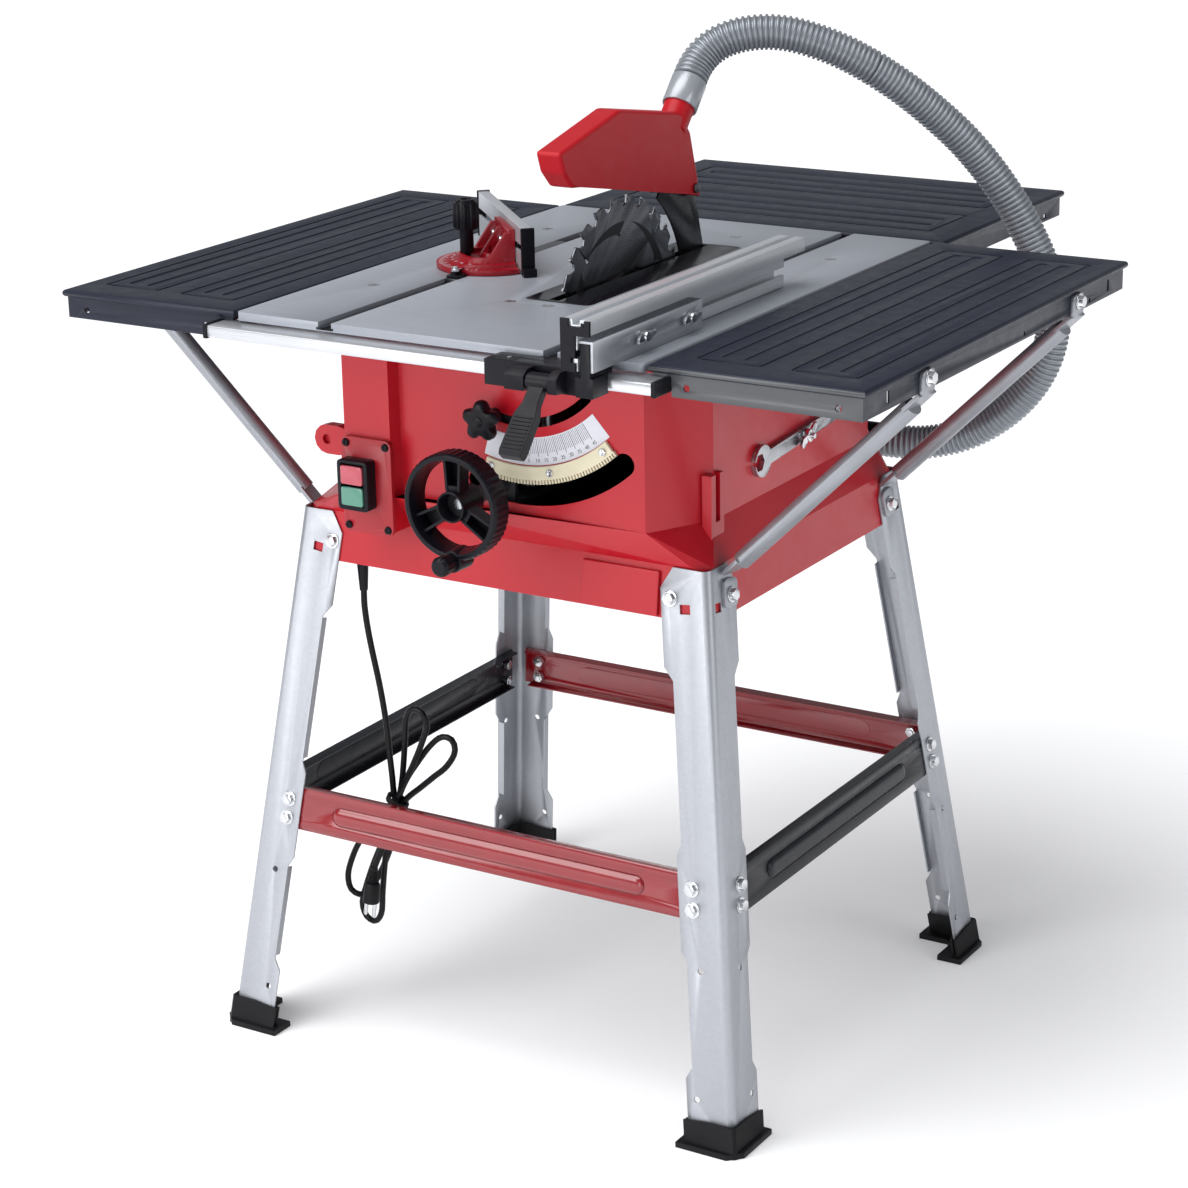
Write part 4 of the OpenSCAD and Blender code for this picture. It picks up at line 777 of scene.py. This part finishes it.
def make_crank_grip():
    profile = [(-304.0, 7.4), (-303.2, 8.6), (-300.0, 10.6), (-290.0, 10.2), (-283.5, 8.8), (-281.2, 8.4)]
    verts, sides = [], 60
    for y, radius in profile:
        for j in range(sides):
            flute = 0.9 if j % 6 == 0 and -302 < y < -283 else 0.0
            verts.append(around((WHEEL[0], WHEEL[1] - 57), radius - flute, 360 * j / sides, y))
    faces = [[k * sides + j, k * sides + (j + 1) % sides, (k + 1) * sides + (j + 1) % sides,
              (k + 1) * sides + j] for k in range(len(profile) - 1) for j in range(sides)]
    faces += [list(reversed(range(sides))), [(len(profile) - 1) * sides + j for j in range(sides)]]
    pin = ring_body((WHEEL[0], WHEEL[1] - 57),
                    [(-281.5, 0.3), (-281.5, 3.95), (-254.1, 3.95), (-254.1, 6.4), (-251.2, 6.4),
                     (-251.2, 0.3)], 32)
    grip = piece("crank_grip_body", mesh_from("crank_grip_body", *join([(verts, faces), pin])),
                 "black_plastic", "crank_grip")
    bevelled(grip, 0.4, 2, 28)
    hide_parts("crank_grip")


def make_star_knob():
    """Five-lobed knob: rings of a wavy outline, domed in front, on a turned neck."""
    rings = [(-224.6, 0.30), (-224.6, 0.52), (-224.0, 0.80), (-222.6, 0.93), (-220.0, 1.0), (-214.5, 1.0),
             (-211.5, 0.94), (-210.0, 0.80), (-209.8, 0.50)]
    sides = 100
    verts = []
    for y, share in rings:
        for j in range(sides):
            a = 2 * math.pi * j / sides
            valley = (0.5 - 0.5 * math.cos(5 * a)) ** 1.6
            lobe = 21.5 - 7.5 * valley * min(share * share * 1.1, 1.0)
            verts.append(around(LOCK, lobe * share, math.degrees(a) + 18, y))
    faces = [[k * sides + j, k * sides + (j + 1) % sides, (k + 1) * sides + (j + 1) % sides,
              (k + 1) * sides + j] for k in range(len(rings) - 1) for j in range(sides)]
    faces += [list(reversed(range(sides))), [(len(rings) - 1) * sides + j for j in range(sides)]]
    neck = ring_body(LOCK, [(-212, 4.1), (-212, 9.5), (-206, 8.0), (-192.6, 8.0), (-192.6, 4.1)], 40)
    cap = ring_body(LOCK, [(-225.4, 0.2), (-225.4, 5.0), (-224.9, 5.6), (-223.0, 5.6), (-223.0, 0.2)], 40)
    stud = ring_body(LOCK, [(-222, 0.2), (-222, 3.95), (-169.2, 3.95), (-169.2, 0.2)], 32)
    knob = piece("tilt_lock_body",
                 mesh_from("tilt_lock_body", *join([(verts, faces), neck, cap, stud]), smooth=True),
                 "black_plastic", "tilt_lock")
    bevelled(knob, 0.4, 2, 40)
    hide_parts("tilt_lock_knob")


# ---- Guard: a moulded hood with rounded edges, open below, and its hose neck ----
HOOD = [(-87, 111), (-104, 112.5), (-121, 130), (-129, 152), (-10, 179), (115, 158), (132, 140), (138, 133),
        (159, 61)]
SPOUT = (133, 153)
SPOUT_LEAN = math.radians(42.1)


def on_hood(u, v, depth):
    return at(BLADE_X + depth, u, TABLE_H + v)


def make_guard():
    half = 15.0
    n = len(HOOD)
    verts = [on_hood(u, v, d) for d in (-half, half) for u, v in HOOD]
    faces = [list(range(n)), [n + k for k in reversed(range(n))]]
    faces += [[k, k + 1, n + k + 1, n + k] for k in range(n - 1)]
    hood = piece("guard_hood", mesh_from("guard_hood", verts, faces), "plastic_red", "guard")
    bevelled(hood, 4.0, 5, 20).modifiers["edge"].harden_normals = False
    wall = hood.modifiers.new("wall", "SOLIDIFY")
    wall.thickness = 2.5 * MM
    wall.offset = -1
    level_normals(hood)
    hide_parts("guard_shell")
    axis = Vector((0, math.sin(SPOUT_LEAN), math.cos(SPOUT_LEAN)))
    base = on_hood(*SPOUT, 0)
    side = Vector((1, 0, 0))
    up = axis.cross(side)
    sections = [(-20, 16.6), (2, 16.6), (6, 16.9), (8, 16.95), (35.5, 16.95), (35.5, 14.6), (-18, 14.6),
                (-20, 14.8)]
    sides = 48
    verts = [base + axis * along * MM + radius * MM * (math.cos(2 * math.pi * j / sides) * side
                                                       + math.sin(2 * math.pi * j / sides) * up)
             for j in range(sides) for along, radius in sections]
    m = len(sections)
    faces = [[j * m + k, j * m + (k + 1) % m, ((j + 1) % sides) * m + (k + 1) % m,
              ((j + 1) % sides) * m + k] for j in range(sides) for k in range(m)]
    neck = piece("guard_neck", mesh_from("guard_neck", verts, faces), "plastic_red", "guard")
    bevelled(neck, 0.5, 2, 28)


# ---- Rip fence: clamp lever, end cap, painted shade of the pockets in the carrier ----
LEVER_LEAN = math.radians(41)


def on_lever(u, depth, along):
    """u across, depth behind the front face's plane, along down the lever from its pivot, all in mm."""
    c, d = math.cos(LEVER_LEAN), math.sin(LEVER_LEAN)
    return at(153 + u, -358 + depth * c - along * d, TABLE_H - 18 - depth * d - along * c)


def make_lever():
    sections = [(2, 8.4, -4.5, 4.0), (24, 8.4, -5.0, 4.0), (38, 12.3, -6.5, 4.6), (76, 12.6, -7.5, 4.8),
                (81, 12.0, -6.0, 3.6)]
    verts = [on_lever(u, depth, along) for along, half, front, back in sections
             for u, depth in ((-half, front), (half, front), (half, back), (-half, back))]
    faces = [[3, 2, 1, 0], [16, 17, 18, 19]]
    faces += [[4 * k + j, 4 * k + (j + 1) % 4, 4 * k + 4 + (j + 1) % 4, 4 * k + 4 + j]
              for k in range(4) for j in range(4)]
    parts = [(verts, faces)]
    for k in range(9):
        low = 40 + 4.1 * k
        depth = -6.5 - 1.0 * (low - 38) / 38
        ridge = [(-10.5, low), (10.5, low), (10.5, low + 1.7), (-10.5, low + 1.7)]
        parts.append(slab(ridge, depth - 1.1, depth + 0.4, lambda u, v, d: on_lever(u, d, v)))
    hub = lathe([(0, 3.1), (0, 9), (25.2, 9), (25.2, 3.1)], at(140.4, -358, TABLE_H - 18),
                Vector((1, 0, 0)), 40)
    parts.append(hub)
    lever = piece("fence_lever_body", mesh_from("fence_lever_body", *join(parts)), "black_plastic",
                  "fence_lever")
    bevelled(lever, 0.6, 3, 28)
    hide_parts("fence_lever")


def make_fence_ends():
    outline = [(-1, 0.8), (15, 0.8), (15, 9), (10, 9), (10, 14), (15, 14), (15, 35), (31, 35), (31, 50),
               (25, 50), (25, 44), (8, 44), (8, 51), (-1, 51)]
    cap = slab(outline, -375, -372, lambda u, v, y: at(187 + u, y, TABLE_H + v))
    cap_piece = piece("fence_end_cap_body", mesh_from("fence_end_cap_body", *cap), "black_plastic", "fence")
    bevelled(cap_piece, 0.5)
    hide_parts("fence_end_cap")
    # Flat dark patches on the carrier's top: painted shade that stands in for its pockets.
    pockets = [box_part(90, 113, -344, -326, 844.9, 845.2), box_part(120, 127, -347, -343, 844.9, 845.2),
               box_part(152, 163, -347, -343, 844.9, 845.2), box_part(178, 186, -343, -334, 844.9, 845.2)]
    piece("carrier_pocket_shade", mesh_from("carrier_pocket_shade", *join(pockets)), "recess_black_and_painted_shade", "fence_carriage")
    pin = lathe([(0, 2.4), (1.2, 2.4)], at(103, -334, 844.8), Vector((0, 0, 1)), 20)
    piece("carrier_pin", mesh_from("carrier_pin", *pin), "zinc", "fence_carriage")


# ---- Stamped ribs of the braces ----
def bead(half, lift):
    """Half-round rib with round ends: rings of a stadium outline that rise towards its middle line."""
    radius, height, rings, steps = 10.0, 3.2, 7, 12
    verts, faces = [], []
    count = 2 * (steps + 1)
    for k in range(rings):
        share = 1 - k / rings
        for side in (1, -1):
            for j in range(steps + 1):
                a = math.radians(-90 + 180 * j / steps)
                u = side * (half + radius * share * math.cos(a))
                v = side * radius * share * math.sin(a)
                verts.append(lift(u, v, -height * math.sqrt(1 - share * share) - 0.05))
    for k in range(rings - 1):
        faces += [[k * count + j, k * count + (j + 1) % count, (k + 1) * count + (j + 1) % count,
                   (k + 1) * count + j] for j in range(count)]
    faces.append([(rings - 1) * count + j for j in range(count)])
    return verts, faces


def make_beads():
    lean_x, lean_y = math.radians(7.04), math.radians(7.72)
    front_y = -300.7 + 239 * math.tan(lean_y) + 3.7
    side_x = 326 - 239 * math.tan(lean_x) - 2.0
    for sign, label in ((1, "front"), (-1, "rear")):
        def lift(u, v, depth, sign=sign):
            h = v + 24
            y = front_y + depth * math.cos(lean_y) + h * math.sin(lean_y)
            return at(-28 + u, 51 + sign * y, 239 - depth * math.sin(lean_y) + h * math.cos(lean_y))
        piece(f"{label}_brace_rib", mesh_from(f"{label}_brace_rib", *bead(188, lift), smooth=True),
              "brace_red", "root")
    for sign, label in ((1, "right"), (-1, "left")):
        def lift(u, v, depth, sign=sign):
            h = v + 24
            x = side_x - depth * math.cos(lean_x) - h * math.sin(lean_x)
            return at(-28 + sign * x, 51 + u, 239 - depth * math.sin(lean_x) + h * math.cos(lean_x))
        piece(f"{label}_brace_rib", mesh_from(f"{label}_brace_rib", *bead(154, lift), smooth=True),
              "side_black", "root")


def make_base_pad():
    """Thickened end of the base's front, beside the right leg."""
    def lift(u, v, depth):
        return at(u, -172.6 + depth + (v - 546) * 0.137, v)
    pad = slab([(78, 547.5), (169, 547.5), (169, 594), (78, 594)], -3.6, 0.4, lift)
    bevelled(piece("base_pad", mesh_from("base_pad", *pad), "cabinet_red", "root"), 1.5)


def make_tray():
    """Sheet that closes the cabinet's base below, cut away round the mains gland; its near-black colour is
    painted shade that keeps the inside of the cabinet dark.
    """
    outline = [(-172, -168.5), (210.5, -168.5), (224.5, -154.5), (224.5, 256.5), (210.5, 270.5),
               (-266.5, 270.5), (-280.5, 256.5), (-280.5, -112), (-172, -112)]
    tray = slab(outline, 552, 553.5, at)
    piece("base_tray", mesh_from("base_tray", *tray), "cabinet_painted_shade", "root")


make_label()
make_handwheel()
make_crank_grip()
make_star_knob()
make_guard()
make_lever()
make_fence_ends()
make_beads()
make_base_pad()
make_tray()
make_blade_print()
make_rail_caps()
make_slot_floors()
make_mitre_detail()


# ---- Studio ----
def make_studio():
    floor_mesh = mesh_from("floor", [(-14, -14, 0), (14, -14, 0), (14, 14, 0), (-14, 14, 0)],
                           [[0, 1, 2, 3]])
    floor = bpy.data.objects.new("floor", floor_mesh)
    bpy.context.scene.collection.objects.link(floor)
    floor.location.z = -0.0005
    pale = surface("floor_pale", (0.90, 0.90, 0.91), 0.85, tone=(2, 0.005), vary=(5, 0.02),
                   bump=(40, 0.01, 0.0002))
    pale.node_tree.nodes["Principled BSDF"].inputs["Emission Color"].default_value = (1, 1, 1, 1)
    pale.node_tree.nodes["Principled BSDF"].inputs["Emission Strength"].default_value = 0.14
    floor_mesh.materials.append(pale)
    world = bpy.data.worlds.new("studio")
    bpy.context.scene.world = world
    world.use_nodes = True
    world.node_tree.nodes["Background"].inputs["Color"].default_value = (0.93, 0.96, 1.0, 1)
    world.node_tree.nodes["Background"].inputs["Strength"].default_value = 0.33
    sun_data = bpy.data.lights.new("overhead", "SUN")
    sun_data.energy = 2.7
    sun_data.angle = math.radians(55)
    sun = bpy.data.objects.new("overhead", sun_data)
    bpy.context.scene.collection.objects.link(sun)
    sun.rotation_euler = Vector((0.28, 0.42, -1.0)).to_track_quat("-Z", "Y").to_euler()
    lights = (
        ("front_left", (-1.5, -3.0, 1.5), (0, 0, 0.65), 1.8, 42),
        ("right", (3.2, -0.4, 1.6), (0, 0, 0.6), 1.4, 16),
        ("front_low", (0.7, -3.4, 0.5), (0, 0, 0.4), 1.4, 14),
    )
    for name, place, target, size, power in lights:
        data = bpy.data.lights.new(name, "AREA")
        data.shape = "SQUARE"
        data.size = size
        data.energy = power
        lamp = bpy.data.objects.new(name, data)
        bpy.context.scene.collection.objects.link(lamp)
        lamp.location = place
        lamp.rotation_euler = (Vector(target) - Vector(place)).to_track_quat("-Z", "Y").to_euler()


make_studio()
bpy.context.scene.view_settings.view_transform = "Standard"
